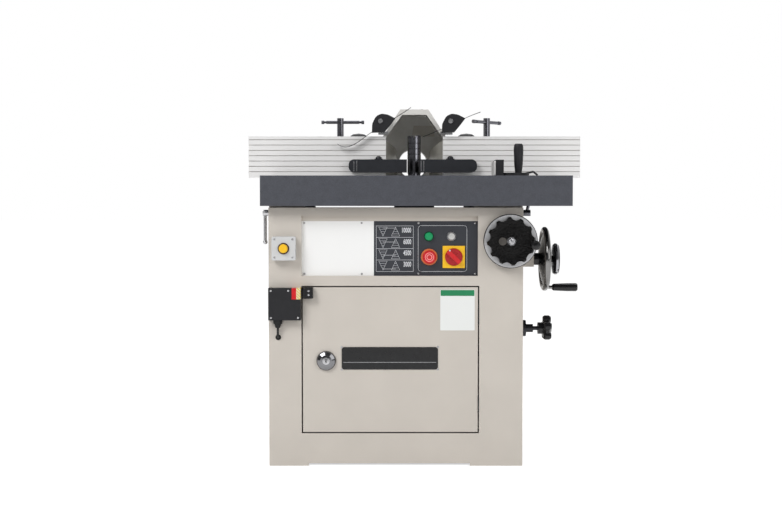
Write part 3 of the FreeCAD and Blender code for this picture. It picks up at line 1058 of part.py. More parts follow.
for side, across in ((-1, "hold_left_x"), (1, "hold_right_x")):
    ends = (f"{side} * hold_arm_inner", f"{side} * ({across} + hold_bolt)")
    arms.append(slab(f"hold_arm{side}", f"min({ends[0]}; {ends[1]})", f"max({ends[0]}; {ends[1]})",
                     hold_back,
                     "-hood_front", "table_top + hold_arm_rise",
                     "(table_top + hold_arm_rise) + hold_arm_high"))
    arms.append(slab(f"hold_lug{side}", f"{side} * {across} - hold_bolt", f"{side} * {across} + hold_bolt",
                     hold_back,
                     f"{hold_back} + hold_lug", "table_top + hold_arm_rise",
                     "(table_top + hold_rise) + hold_bolt"))
arm_holes = [rod(f"hold_hole{side}", "hold_bolt / 2 + running_gap", "overrun + hold_thick / 2",
                 (f"{side} * {across}", f"{hold_back} - overrun", "table_top + hold_rise"), "+Y")
             for side, across in ((-1, "hold_left_x"), (1, "hold_right_x"))]
node("hood", cut("hood", fuse("hood_welded", cut("hood_open", shell, inside, mouth, outlet), port, *arms),
                 *arm_holes))

caps += [screw(f"hood_bolt{side}", (f"{side} * hood_bolt_x", "hood_rim", "table_top + hood_rise"), "+Z",
               "hood_bolt_radius")
         for side in (-1, 1)]
node("fence_caps", group("fence_caps", caps))


def tee_handle(name, side, turn, offset):
    """Clamp screw with a sliding tommy bar; its nut runs under the table slot."""
    foot = f"{floor_z} + foot_thick + seat_gap"
    nut_z = "table_top - table_plate - seat_gap - tee_nut_high"
    post = turned(name + "_post", (("0", "0"), ("tee_nut", "0"), ("tee_nut", "tee_nut_high"),
                                   ("post_stem", "tee_nut_high"),
                                   ("post_stem", f"{foot} - ({nut_z})"),
                                   ("post_radius", f"{foot} - ({nut_z})"),
                                   ("post_radius", f"(table_top + post_rise) - ({nut_z})"),
                                   ("0", f"(table_top + post_rise) - ({nut_z})")),
                  (f"{side} * post_x", "post_y", nut_z))
    half = [("tee_end", "0"), ("tee_end", "tee_end_long"), ("tee_neck_radius", "tee_end_long"),
            ("tee_neck_radius", "tee_end_long + tee_neck_long"),
            ("tee_radius", "tee_end_long + tee_neck_long")]
    far = [(radius, f"tee_length - ({up})") for radius, up in reversed(half)]
    bar = turned(name + "_bar", [("0", "0")] + half + far + [("0", "tee_length")], ("0", "0", "0"))
    start = f"(tee_length / 2 - ({offset}))"
    place(bar, (f"{side} * post_x - {start} * cos({turn})", f"post_y - {start} * sin({turn})",
                "table_top + tee_rise"),
          Rotation(Vector(0, 0, 1), size(turn)).multiply(TURNS["+X"]))
    return fuse(name, post, bar)


node("tee_handle_left", tee_handle("tee_left", -1, "0", "tee_offset"))
node("tee_handle_right", tee_handle("tee_right", 1, "tee_angle", "0"))


def round_top(edge):
    """Test for the edges of a cover that its dome rounds off."""
    corner = edge.Vertexes[0].Point
    return ACROSS(edge) and corner.z > -0.4 * size("hold_radius") and corner.x < 1.2 * size("hold_radius")


def hold_down(name, across, spring_shares):
    """Cast cover with a leaf spring through it, pivoting on its bolt."""
    outline = [(f"{u} * hold_radius", f"{v} * hold_radius") for u, v in COVER_SHARES]
    cover = padded(name + "_cover", "XZ_Plane", outline, "hold_thick",
                   (across, "-hold_y + hold_thick / 2", "table_top + hold_rise"))
    soften(cover, "hold_radius * 0.8", round_top)
    bolt = rod(name + "_bolt", "hold_bolt", "hold_bolt_high",
               (across, "-hold_y - hold_thick / 2", "table_top + hold_rise"), "-Y")
    pin = rod(name + "_pin", "hold_bolt / 2", "hold_thick / 2",
              (across, "-hold_y + hold_thick / 2 - running_gap", "table_top + hold_rise"),
              "+Y")
    radius = size("hold_radius")
    low = [Vector(u * radius, 0, v * radius) for u, v in spring_shares]
    lift = Vector(0, 0, size("spring_thick"))
    lower = Part.BSplineCurve()
    lower.interpolate(low)
    upper = Part.BSplineCurve()
    upper.interpolate([spot + lift for spot in low])
    edges = [lower.toShape(), Part.LineSegment(low[-1], low[-1] + lift).toShape(), upper.toShape(),
             Part.LineSegment(low[0] + lift, low[0]).toShape()]
    strip = DOC.addObject("Part::Feature", name + "_strip")
    strip.Shape = Part.Face(Part.Wire(Part.__sortEdges__(edges))).extrude(Vector(0, size("spring_wide"), 0))
    place(strip, (across, "-hold_y - spring_wide / 2", "table_top + hold_rise"))
    return fuse(name, cover, bolt, pin, strip)


node("hold_down_left", hold_down("hold_left", "-hold_left_x", LEFT_SPRING_SHARES))
node("hold_down_right", hold_down("hold_right", "hold_right_x", RIGHT_SPRING_SHARES))


def shoe(name, side, inner, outer):
    """Pressure shoe on the fence's face: rounded outer end, domed nut on a washer on top."""
    back = "-fence_front - seat_gap"
    ends = (f"{side} * {inner}", f"{side} * {outer}")
    points = ((ends[0], "0"), (ends[1], "0"), (ends[1], "shoe_high"), (ends[0], "shoe_high"))
    block = padded(name + "_block", "XZ_Plane", points, "shoe_thick",
                   ("0", back, "table_top + shoe_rise"))
    limit = size(outer) - size("overrun")
    soften(block, "shoe_high * 0.42", lambda edge: ACROSS(edge) and abs(edge.Vertexes[0].X) > limit)
    nut = turned(name + "_nut", (("0", "0"), ("shoe_washer", "0"), ("shoe_washer", "shoe_washer_thick"),
                                 ("shoe_nut", "shoe_washer_thick"),
                                 ("shoe_nut * 0.9", "shoe_washer_thick + shoe_nut_high * 0.6"),
                                 ("shoe_nut * 0.5", "shoe_washer_thick + shoe_nut_high"),
                                 ("0", "shoe_washer_thick + shoe_nut_high")),
                 (f"{side} * shoe_nut_x", f"{back} - shoe_thick / 2",
                  "(table_top + shoe_rise) + shoe_high"))
    return fuse(name, block, nut)


node("shoe_left", shoe("shoe_left", -1, "shoe_left_inner", "shoe_left_outer"))
node("shoe_right", shoe("shoe_right", 1, "shoe_right_inner", "shoe_right_outer"))

# Mitre gauge in the table slot.
guide_bar = box("mitre_guide", ("mitre_bar_long", "slot_width - 2 * slide_gap", "slot_depth - slide_gap"),
                ("mitre_x", "-slot_y", "table_top - slot_depth + slide_gap"))
head_z = "table_top + mitre_gap"
pivot = rod("mitre_pin", "mitre_pivot", "slot_depth / 2 + mitre_gap + mitre_head_thick",
            ("mitre_x", "-slot_y", "table_top - slot_depth / 2"))
node("mitre_bar", fuse("mitre_bar", guide_bar, pivot))
disc = rod("mitre_disc", "mitre_head_radius", "mitre_head_thick", ("mitre_x", "-slot_y", head_z))
face = box("mitre_face", ("mitre_face_thick", "mitre_face_long", "mitre_face_high"),
           ("mitre_face_x", "-slot_y", head_z))
grip = turned("mitre_grip", (("0", "0"), ("grip_foot", "0"),
                             ("grip_radius * 0.9", "grip_rise * 0.34"),
                             ("grip_radius", "grip_rise * 0.72"),
                             ("grip_radius", "grip_rise * 0.88"),
                             ("grip_radius * 0.92", "grip_rise * 0.96"),
                             ("grip_radius * 0.7", "grip_rise"), ("0", "grip_rise")),
              ("mitre_x + grip_x", "-slot_y", "table_top + mitre_gap + mitre_head_thick / 2"))
rod_z = f"{head_z} + mitre_head_thick / 2"
rod_tip = ("mitre_x + stop_rod_out", "-slot_y", f"{head_z} + stop_rod")
rod_route = (("mitre_x + mitre_head_radius / 2", "-slot_y", rod_z),
             ("mitre_x + (mitre_head_radius + stop_rod_out) / 2", "-slot_y", f"{rod_z} + stop_rod_rise"),
             rod_tip)
stop = bent_tube("mitre_stop", rod_route, "stop_rod", "2 * stop_rod")
pivot_bore = rod("mitre_bore", "mitre_pivot + running_gap", "mitre_head_thick + 2 * overrun",
                 ("mitre_x", "-slot_y", f"{head_z} - overrun"))
node("mitre_head", cut("mitre_head", fuse("mitre_casting", disc, face, grip, stop), pivot_bore))


DOC.recompute()
broken = [item.Label for item in DOC.Objects if "Invalid" in item.State or "Error" in item.State]
broken += [item.Label for item in NODES if item.Shape.isNull() or not item.Shape.isValid()]
if broken:
    raise SystemExit("failed: " + ", ".join(broken))
os.makedirs("parts", exist_ok=True)
for item in NODES:
    item.Shape.exportStep(os.path.join("parts", item.Label + ".step"))
print(len(NODES), "nodes", sum(len(item.Shape.Solids) for item in NODES), "solids")
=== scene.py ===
import math

import bmesh
import bpy
from mathutils import Matrix, Vector


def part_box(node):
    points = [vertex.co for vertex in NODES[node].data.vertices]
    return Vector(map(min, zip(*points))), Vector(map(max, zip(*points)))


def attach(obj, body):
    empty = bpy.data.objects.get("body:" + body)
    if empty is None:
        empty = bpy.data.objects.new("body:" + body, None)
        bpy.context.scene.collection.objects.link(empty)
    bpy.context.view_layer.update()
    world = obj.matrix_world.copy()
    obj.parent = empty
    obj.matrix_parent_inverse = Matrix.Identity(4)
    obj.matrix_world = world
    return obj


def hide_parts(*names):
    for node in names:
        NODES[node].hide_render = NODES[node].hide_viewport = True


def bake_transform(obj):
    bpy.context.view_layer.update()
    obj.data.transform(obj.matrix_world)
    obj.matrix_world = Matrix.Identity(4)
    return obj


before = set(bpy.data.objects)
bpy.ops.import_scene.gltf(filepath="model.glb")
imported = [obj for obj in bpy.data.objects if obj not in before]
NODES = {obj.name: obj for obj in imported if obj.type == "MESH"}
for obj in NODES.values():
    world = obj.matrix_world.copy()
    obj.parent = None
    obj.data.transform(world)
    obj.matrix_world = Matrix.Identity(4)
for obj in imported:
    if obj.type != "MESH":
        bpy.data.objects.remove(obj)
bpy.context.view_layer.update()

# Camera at the photograph's angle; its numbers also place flat details by pixel.
FOCAL_PX, WIDE_PX, HIGH_PX = 1310.0, 782, 522
EYE = Vector((-0.074, -4.195, 0.778))
PITCH = math.radians(2.45)


def at(px, py, plane):
    """Point on the upright plane y = plane that shows at a pixel."""
    ray = Vector(((px - WIDE_PX / 2) / FOCAL_PX, 1, -(py - HIGH_PX / 2) / FOCAL_PX))
    ray = Matrix.Rotation(-PITCH, 3, "X") @ ray
    spot = EYE + ray * ((plane - EYE.y) / ray.y)
    return spot.x, spot.z


def linear(r, g, b):
    """Colour of 0 to 255 per channel as the renderer's linear values."""
    def one(v):
        v /= 255
        return v / 12.92 if v <= 0.04045 else ((v + 0.055) / 1.055) ** 2.4
    return (one(r), one(g), one(b), 1.0)


def feed(tree, socket, value):
    """Link a socket to another, or set a constant on it."""
    if hasattr(value, "links"):
        tree.links.new(value, socket)
    else:
        socket.default_value = value


def operate(tree, kind, *values):
    """Math node on sockets or constants."""
    node = tree.nodes.new("ShaderNodeMath")
    node.operation = kind
    for socket, value in zip(node.inputs, values):
        feed(tree, socket, value)
    return node.outputs[0]


# Range that most of a noise texture's values lie in, and the least roughness of any finish.
NOISE_LOW, NOISE_HIGH, ROUGH_LEAST = 0.3, 0.7, 0.02

# What a finish has unless it says otherwise.
PLAIN = dict(vary=0.05, scale=25, stretch=(1, 1, 1), rough=0.5, rough_vary=0.06, rough_scale=60, metal=0.0,
             bump=0.05, bump_scale=900, bump_stretch=(1, 1, 1), relief=0.0004, specular=0.5, coat=0.0,
             coat_rough=0.15, speck=None, speck_scale=700)


class Shader:
    """Principled material built from a base finish and zones of other finishes."""

    def __init__(self, name, finish, zones=()):
        self.mat = bpy.data.materials.new(name)
        self.mat.use_nodes = True
        self.tree = self.mat.node_tree
        self.nodes = self.tree.nodes
        self.links = self.tree.links
        self.bsdf = self.nodes["Principled BSDF"]
        self.coord = self.nodes.new("ShaderNodeTexCoord").outputs["Object"]
        self.split = self.nodes.new("ShaderNodeSeparateXYZ")
        self.links.new(self.coord, self.split.inputs[0])
        look = self.finish(finish)
        for mask, other in zones:
            look = self.blend(look, self.finish(other), mask(self))
        for socket, value in zip(("Base Color", "Roughness", "Metallic"), look):
            feed(self.tree, self.bsdf.inputs[socket], value)
        finish = {**PLAIN, **finish}
        bump = self.nodes.new("ShaderNodeBump")
        bump.inputs["Strength"].default_value = finish["bump"]
        bump.inputs["Distance"].default_value = finish["relief"]
        grain = self.noise(finish["bump_scale"], finish["bump_stretch"], detail=3)
        self.links.new(grain, bump.inputs["Height"])
        self.links.new(bump.outputs[0], self.bsdf.inputs["Normal"])
        self.bsdf.inputs["Specular IOR Level"].default_value = finish["specular"]
        self.bsdf.inputs["Coat Weight"].default_value = finish["coat"]
        self.bsdf.inputs["Coat Roughness"].default_value = finish["coat_rough"]

    def noise(self, scale, stretch=(1, 1, 1), *, detail):
        spread = self.nodes.new("ShaderNodeMapping")
        spread.inputs["Scale"].default_value = stretch
        self.links.new(self.coord, spread.inputs["Vector"])
        tex = self.nodes.new("ShaderNodeTexNoise")
        tex.inputs["Scale"].default_value = scale
        tex.inputs["Detail"].default_value = detail
        self.links.new(spread.outputs[0], tex.inputs["Vector"])
        return tex.outputs["Fac"]

    def remap(self, value, low, high):
        node = self.nodes.new("ShaderNodeMapRange")
        node.inputs["From Min"].default_value = NOISE_LOW
        node.inputs["From Max"].default_value = NOISE_HIGH
        node.inputs["To Min"].default_value = low
        node.inputs["To Max"].default_value = high
        self.links.new(value, node.inputs["Value"])
        return node.outputs["Result"]

    def mix(self, factor, first, second, kind="RGBA"):
        node = self.nodes.new("ShaderNodeMix")
        node.data_type = kind
        ends = [s for s in node.inputs if s.enabled and s.name in ("A", "B")]
        feed(self.tree, next(s for s in node.inputs if s.enabled and s.name == "Factor"), factor)
        feed(self.tree, ends[0], first)
        feed(self.tree, ends[1], second)
        return next(s for s in node.outputs if s.enabled)

    def finish(self, look):
        """Colour, roughness and metallic of one finish; colour and roughness each with its own unevenness."""
        look = {**PLAIN, **look}
        color = linear(*look["color"])
        dark = tuple(c * (1 - look["vary"]) for c in color[:3]) + (1.0,)
        light = tuple(min(1.0, c * (1 + look["vary"])) for c in color[:3]) + (1.0,)
        cloud = self.noise(look["scale"], look["stretch"], detail=4)
        shade = self.mix(self.remap(cloud, 0.0, 1.0), dark, light)
        if look["speck"]:
            fleck = self.remap(self.noise(look["speck_scale"], detail=2), 0.0, look["speck"])
            shade = self.mix(fleck, shade, linear(*look["speck_color"]))
        gloss = self.noise(look["rough_scale"], look["stretch"], detail=3)
        rough_low = max(ROUGH_LEAST, look["rough"] - look["rough_vary"])
        rough_high = min(1.0, look["rough"] + look["rough_vary"])
        return shade, self.remap(gloss, rough_low, rough_high), look["metal"]

    def blend(self, first, second, mask):
        return (self.mix(mask, first[0], second[0]), self.mix(mask, first[1], second[1], "FLOAT"),
                self.mix(mask, first[2], second[2], "FLOAT"))

    def math(self, kind, *values):
        return operate(self.tree, kind, *values)


def within(**limits):
    """Mask of a box, in metres: within(x=(low, high), ...)."""
    def build(shader):
        total = 1.0
        for axis, (low, high) in limits.items():
            place = shader.split.outputs["XYZ".index(axis.upper())]
            total = shader.math("MULTIPLY", shader.math("GREATER_THAN", place, low), total)
            total = shader.math("MULTIPLY", shader.math("LESS_THAN", place, high), total)
        return total
    return build


def around(axis, centre, low, high):
    """Mask of a tube about an axis between two radii."""
    def build(shader):
        others = [name for name in "XYZ" if name != axis]
        squares = []
        for name, mid in zip(others, centre):
            gap = shader.math("SUBTRACT", shader.split.outputs["XYZ".index(name)], mid)
            squares.append(shader.math("MULTIPLY", gap, gap))
        radius = shader.math("POWER", shader.math("ADD", *squares), 0.5)
        return shader.math("MULTIPLY", shader.math("GREATER_THAN", radius, low),
                           shader.math("LESS_THAN", radius, high))
    return build


def both(*masks):
    """Mask of what lies in all of the given masks."""
    def build(shader):
        total = 1.0
        for mask in masks:
            total = shader.math("MULTIPLY", mask(shader), total)
        return total
    return build


def bands(width):
    """Mask of slanting bands of equal width."""
    def build(shader):
        along = shader.math("ADD", shader.split.outputs[0], shader.split.outputs[2])
        share = shader.math("FRACT", shader.math("MULTIPLY", along, 0.5 / width))
        return shader.math("GREATER_THAN", share, 0.5)
    return build


def hood_inside(shader):
    """Mask of the hood's inner skin: what lies within its sloped outline, short of half a sheet."""
    shoulder, lean, half_wide, half_sloped = 0.995, 0.6395, 0.0985, 0.0982
    depth, rise = (-0.0165, 0.2285), (0.0, 1.0795)
    across = shader.math("ABSOLUTE", shader.split.outputs[0])
    above = shader.math("SUBTRACT", shader.split.outputs[2], shoulder)
    slope = shader.math("ADD", across, shader.math("MULTIPLY", above, lean))
    box = within(y=depth, z=rise)(shader)
    sides = shader.math("MULTIPLY", shader.math("LESS_THAN", across, half_wide),
                        shader.math("LESS_THAN", slope, half_sloped))
    return shader.math("MULTIPLY", box, sides)


def grooves(node):
    """Mask of what lies behind a fence plate's face: its grooves, where shade is painted."""
    end, skin, deep, foot, head = 0.0005, 0.0004, 0.004, 0.0037, 0.0043
    low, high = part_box(node)
    return within(x=(low[0] + end, high[0] - end), y=(low[1] + skin, low[1] + deep),
                  z=(low[2] + foot, high[2] - head))


def facing_up(shader):
    """Mask of faces that look upwards."""
    level = 0.9
    normal = shader.nodes.new("ShaderNodeNewGeometry").outputs["True Normal"]
    split = shader.nodes.new("ShaderNodeSeparateXYZ")
    shader.links.new(normal, split.inputs[0])
    return shader.math("GREATER_THAN", split.outputs[2], level)


PAINT = dict(color=(204, 197, 188), vary=0.025, scale=9, rough=0.42, bump=0.06, bump_scale=650, coat=0.08)
HOOD = dict(color=(220, 218, 213), vary=0.03, scale=14, rough=0.45, bump=0.06, bump_scale=600)
# Painted light: the hood's inner skin is coloured whiter than its outer paint to lift the shade inside the
# hood.
HOOD_INSIDE_LIT = dict(color=(246, 245, 241), vary=0.08, scale=22, rough=0.6)
SLATE = dict(color=(64, 66, 73), vary=0.10, scale=60, rough=0.5, rough_vary=0.1, speck=0.2, speck_scale=420,
             speck_color=(100, 102, 110), bump=0.2, bump_scale=330, relief=0.0007, specular=0.4)
GROUND = dict(color=(150, 150, 152), vary=0.08, scale=30, stretch=(1, 14, 1), rough=0.32, metal=0.85)
ALU = dict(color=(240, 239, 238), vary=0.012, scale=18, stretch=(0.4, 3, 8), rough=0.4, metal=0.2,
           bump=0.015, bump_scale=300, bump_stretch=(0.1, 6, 6))
# Painted shade: the fence grooves are coloured darker than the aluminium for the shade inside them.
GROOVE_SHADE = dict(color=(188, 184, 180), vary=0.04, scale=40, rough=0.6)
STEEL = dict(color=(176, 176, 178), vary=0.07, scale=80, rough=0.28, metal=0.9, bump=0.03, bump_scale=500)
BRIGHT = dict(color=(152, 152, 155), vary=0.05, scale=60, rough=0.14, metal=1.0, bump=0.01)
GUNMETAL = dict(color=(112, 112, 118), vary=0.10, scale=70, rough=0.2, metal=1.0, bump=0.02, bump_scale=500)
DARKSTEEL = dict(color=(46, 46, 49), vary=0.12, scale=70, rough=0.3, metal=0.8, bump=0.04, bump_scale=500)
GLOSSY = dict(color=(15, 15, 17), vary=0.15, scale=40, rough=0.24, specular=0.3, coat=0.12, bump=0.03,
              bump_scale=260)
MATTE = dict(color=(30, 30, 33), vary=0.10, scale=50, rough=0.5, specular=0.3, bump=0.10, bump_scale=520)
CRACKLE = dict(color=(10, 9, 9), vary=0.3, scale=120, rough=0.16, specular=0.13, bump=1.0, bump_scale=150,
               relief=0.003)
CASTDARK = dict(color=(74, 76, 78), vary=0.12, scale=45, rough=0.6, bump=0.3, bump_scale=300, relief=0.0006)
CASTALU = dict(color=(168, 169, 170), vary=0.08, scale=60, rough=0.4, metal=0.8, bump=0.1, bump_scale=400)
PANEL = dict(color=(52, 54, 60), vary=0.05, scale=20, rough=0.42, specular=0.35, bump=0.04, bump_scale=800)
WHITE = dict(color=(246, 246, 245), vary=0.006, scale=6, rough=0.35, bump=0.01, bump_scale=700)
RED = dict(color=(206, 28, 34), vary=0.05, scale=60, rough=0.3, bump=0.02, coat=0.2)
GREEN = dict(color=(18, 150, 92), vary=0.06, scale=90, rough=0.22, bump=0.02, coat=0.4)
YELLOW = dict(color=(250, 196, 30), vary=0.03, scale=60, rough=0.35, bump=0.03)
ORANGE = dict(color=(226, 120, 70), vary=0.05, scale=60, rough=0.35, bump=0.02)
LIGHTGREY = dict(color=(206, 207, 208), vary=0.03, scale=30, rough=0.5, bump=0.08, bump_scale=600)
LENS = dict(color=(196, 196, 194), vary=0.04, scale=90, rough=0.15, bump=0.02, coat=0.5)
RUBBER = dict(color=(24, 24, 24), vary=0.12, scale=60, rough=0.65, specular=0.3, bump=0.1, bump_scale=600)
BROWN = dict(color=(70, 44, 26), vary=0.06, scale=60, rough=0.4)
MARK = dict(ORANGE, color=(240, 150, 150))
# Painted reflection: the door knob's chrome is darkened to stand in for the dark surroundings it mirrors.
CHROME = dict(BRIGHT, color=(116, 116, 118))
# Painted reflection: the side wheel's rim chrome is darkened to stand in for the dark surroundings it
# mirrors.
DIMMED_RIM_CHROME = dict(BRIGHT, color=(118, 117, 116))
SHADED_GREEN = dict(GREEN, color=(20, 70, 52))
SHADED_RED = dict(RED, color=(172, 20, 27))
CREAM = dict(WHITE, color=(226, 222, 200))
STRIPE = dict(YELLOW, color=(222, 190, 60))
SILVER = dict(STEEL, color=(196, 196, 198), rough=0.34, metal=0.6)
POINTER = dict(CASTALU, color=(78, 75, 72))
SHOE = dict(MATTE, color=(38, 40, 45))


def middle(node, axes):
    """Middle of a node's box on the named axes."""
    low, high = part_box(node)
    return tuple((low["xyz".index(axis)] + high["xyz".index(axis)]) / 2 for axis in axes)


# Middles of the round zones and the radii between which each of them lies.
stop_mid, stop_rings = middle("stop_button", "xz"), ((0.006, 0.0085), (0.0115, 0.0135))
start_mid, start_rim = middle("start_button", "xz"), (0.0121, 0.015)
lamp_mid, lamp_rim = middle("pilot_lamp", "xz"), (0.0098, 0.02)
knob_mid, knob_lock = middle("door_knob", "xz"), (0, 0.0105)
box_mid, box_rim = middle("button_box", "xz"), (0.0129, 0.0175)
wheel_mid, wheel_cap, dial_rim = middle("front_handwheel", "xz"), (0, 0.0125), (0.0778, 0.09)
pointer_out, pointer_round = 0.026, (0, 0.0118)
pointer_mid = (wheel_mid[0] - pointer_out, wheel_mid[1])
side_mid, side_rim, lock_rim = middle("side_handwheel", "yz"), (0.0805, 0.2), (0.0455, 0.06)
left_bolt, right_bolt, bolt_round = (-0.107, 1.041), (0.113, 1.041), (0, 0.0075)
# Places where a finish changes along an axis; past them a zone stays open.
OPEN = 2.0
pointer_face, box_face, switch_step, arm_back = -0.3739, -0.3492, -0.3097, -0.0185
bases_split, side_stem, star_stem = 0.07, 0.355, 0.3725
left_leaf, right_leaf = (-0.136, -0.0602), (0.084, 0.1602)
arm_z, shoe_top = (0.98, 1.07), 0.9212
block_left, block_split, stripe_start, stripe_wide = -0.3666, -0.3531, -0.3525, 0.0042
block_z = (0.4999, OPEN)

LOOKS = {
    "cabinet_paint": (PAINT, (), ("left_side_panel", "right_side_panel", "back_panel", "front_panel",
                                  "door")),
    "hood_paint": (HOOD, ((hood_inside, HOOD_INSIDE_LIT),
                          (within(y=(-OPEN, arm_back), z=arm_z), STEEL)), ("hood",)),
    "table_iron": (SLATE, ((facing_up, GROUND),), ("table",)),
    "ring_steel": (GROUND, (), ("table_ring",)),
    "fence_metal": (ALU, ((grooves("fence_left"), GROOVE_SHADE), (grooves("fence_right"), GROOVE_SHADE)),
                    ("fence_left", "fence_right")),
    "base_iron": (CASTDARK, (), ("fence_bases", "quill_guide", "quill", "motor", "cross_bars")),
    "turned_steel": (STEEL, (), ("lift_screw", "lift_shaft", "quill_bearings", "mitre_bar",
                                 "door_screws", "front_screws")),
    "lever_steel": (STEEL, (), ("left_lock_lever",)),
    "lever_dark": (GUNMETAL, (), ("right_lock_lever", "tee_handle_left", "tee_handle_right")),
    "knob_chrome": (CHROME, ((around("Y", knob_mid, *knob_lock), STEEL),), ("door_knob",)),
    "plate_dark": (GLOSSY, (), ("blank_nameplate",)),
    "panel_white": (WHITE, (), ("blank_panel",)),
    "panel_dark": (PANEL, ((around("Y", start_mid, *start_rim), SHADED_GREEN),), ("switch_panel",)),
    "button_green": (GREEN, (), ("start_button",)),
    "lamp_lens": (LENS, ((around("Y", lamp_mid, *lamp_rim), STEEL),), ("pilot_lamp",)),
    "button_red": (RED, tuple((around("Y", stop_mid, *ring), MARK) for ring in stop_rings),
                   ("stop_button",)),
    "switch_bases": (YELLOW, ((within(x=(-OPEN, bases_split)), ORANGE),), ("switch_bases",)),
    "switch_red": (RED, ((within(y=(switch_step, OPEN)), SHADED_RED),), ("switch_knob",)),
    "box_grey": (LIGHTGREY, ((both(around("Y", box_mid, *box_rim), within(y=(-OPEN, box_face))), BROWN),),
                 ("button_box",)),
    "button_yellow": (YELLOW, (), ("box_button",)),
    "interlock_body": (MATTE, ((within(x=(block_left, block_split), z=block_z), RED),
                               (within(x=(block_split, OPEN), z=block_z), CREAM),
                               (both(within(x=(stripe_start, OPEN), z=block_z), bands(stripe_wide)), STRIPE)),
                       ("interlock_switch",)),
    "actuator_black": (GLOSSY, (), ("interlock_actuator",)),
    "cable_black": (RUBBER, (), ("cable_fittings", "interlock_cable", "drive_belt")),
    "dial_silver": (SILVER, ((around("Y", wheel_mid, *dial_rim), DARKSTEEL),), ("dial_ring",)),
    "wheel_black": (CRACKLE, ((around("Y", wheel_mid, *wheel_cap), BRIGHT),
                              (both(around("Y", pointer_mid, *pointer_round),
                                    within(y=(-OPEN, pointer_face))), POINTER)), ("front_handwheel",)),
    "grip_black": (GLOSSY, (), ("front_crank", "side_handle")),
    "cap_black": (MATTE, (), ("fence_caps",)),
    "side_wheel": (GLOSSY, ((around("X", side_mid, *side_rim), DIMMED_RIM_CHROME),
                            (within(x=(-OPEN, side_stem)), STEEL)), ("side_handwheel",)),
    "lock_knob": (GLOSSY, ((around("X", side_mid, *lock_rim), BRIGHT),), ("side_lock_knob",)),
    "star_black": (GLOSSY, ((within(x=(-OPEN, star_stem)), DARKSTEEL),), ("star_knob",)),
    "flange_dark": (DARKSTEEL, (), ("star_flange", "hinge_pins")),
    "spindle_steel": (GUNMETAL, (), ("spindle", "spindle_collars")),
    "pulley_alu": (CASTALU, (), ("spindle_pulley", "motor_pulley")),
    "hold_left": (MATTE, ((around("Y", left_bolt, *bolt_round), STEEL),
                          (within(x=(-OPEN, left_leaf[0])), DARKSTEEL),
                          (within(x=(left_leaf[1], OPEN)), DARKSTEEL)), ("hold_down_left",)),
    "hold_right": (MATTE, ((around("Y", right_bolt, *bolt_round), STEEL),
                           (within(x=(-OPEN, right_leaf[0])), DARKSTEEL),
                           (within(x=(right_leaf[1], OPEN)), DARKSTEEL)), ("hold_down_right",)),
    "shoe_black": (SHOE, ((within(z=(shoe_top, OPEN)), DARKSTEEL),), ("shoe_left", "shoe_right")),
    "mitre_black": (MATTE, (), ("mitre_head",)),
}
for name, (finish, zones, members) in LOOKS.items():
    material = Shader(name, finish, zones).mat
    for member in members:
        mesh_object = NODES[member]
        for slot in mesh_object.material_slots:
            slot.material = material
shown = {member for _, _, members in LOOKS.values() for member in members}
assert shown == set(NODES), shown ^ set(NODES)


# Added pieces, each in mesh code and riding on the body that carries it.
def piece(name, bm, body, material, smooth=False):
    """Object from a mesh, riding on its body when one is given."""
    mesh = bpy.data.meshes.new(name)
    bmesh.ops.recalc_face_normals(bm, faces=bm.faces)
    bm.to_mesh(mesh)
    bm.free()
    for face in mesh.polygons:
        face.use_smooth = smooth
    thing = bpy.data.objects.new(name, mesh)
    bpy.context.collection.objects.link(thing)
    mesh.materials.append(material)
    if body:
        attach(thing, body)
    return thing


def plate(bm, points, plane, high):
    """Flat plate standing proud of an upright plane."""
    low = [bm.verts.new((x, plane, z)) for x, z in points]
    top = [bm.verts.new((x, plane - high, z)) for x, z in points]
    bm.faces.new(low)
    bm.faces.new(top)
    for n in range(len(points)):
        bm.faces.new((low[n], low[(n + 1) % len(points)], top[(n + 1) % len(points)], top[n]))


def stroke(bm, start, end, plane, wide, high):
    """Raised line on an upright plane from one (x, z) to another."""
    a, b = Vector(start), Vector(end)
    run = (b - a).normalized() * wide / 2
    side = Vector((-run.y, run.x))
    plate(bm, (a - run - side, b + run - side, b + run + side, a - run + side), plane, high)


def rounded(x0, x1, z0, z1, radius, steps=6):
    """Corner-rounded rectangle as (x, z) points."""
    points = []
    for cx, cz, turn in ((x1 - radius, z1 - radius, 0), (x0 + radius, z1 - radius, 90),
                         (x0 + radius, z0 + radius, 180), (x1 - radius, z0 + radius, 270)):
        for n in range(steps + 1):
            angle = math.radians(turn + 90 * n / steps)
            points.append((cx + radius * math.cos(angle), cz + radius * math.sin(angle)))
    return points


ink = Shader("print_white", dict(WHITE, color=(214, 216, 220), rough=0.45)).mat
# Speed chart: a ruled frame and, in each row, two stepped cones with the belt between them.
panel_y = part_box("blank_panel")[0][1]
LINE, INK_HIGH, BELT_HIGH = 0.0009, 0.0003, 0.0004
SLANT_LINE, STEP_LINE, OUTLINE = LINE * 0.8, LINE * 0.7, LINE * 1.1
# Places on the chart, in pixels of the photograph.
CONE_HALF, CONE_STEPS, SPINDLE_CONE, MOTOR_CONE = 4.2, 4, 383.0, 395.6
CONE_TOP, CONE_FOOT, BELT_TOP = 1.2, 10.2, 0.6
rows, belt_drops = (225.9, 237.4, 248.6, 259.95, 271.5), (1.6, 4.0, 6.0, 8.4)
left, right = 376.2, 413.3


def ruled(bm, start, end, wide, high=INK_HIGH):
    """Printed line on the switch panel between two pixels."""
    stroke(bm, at(*start, panel_y), at(*end, panel_y), panel_y, wide, high)


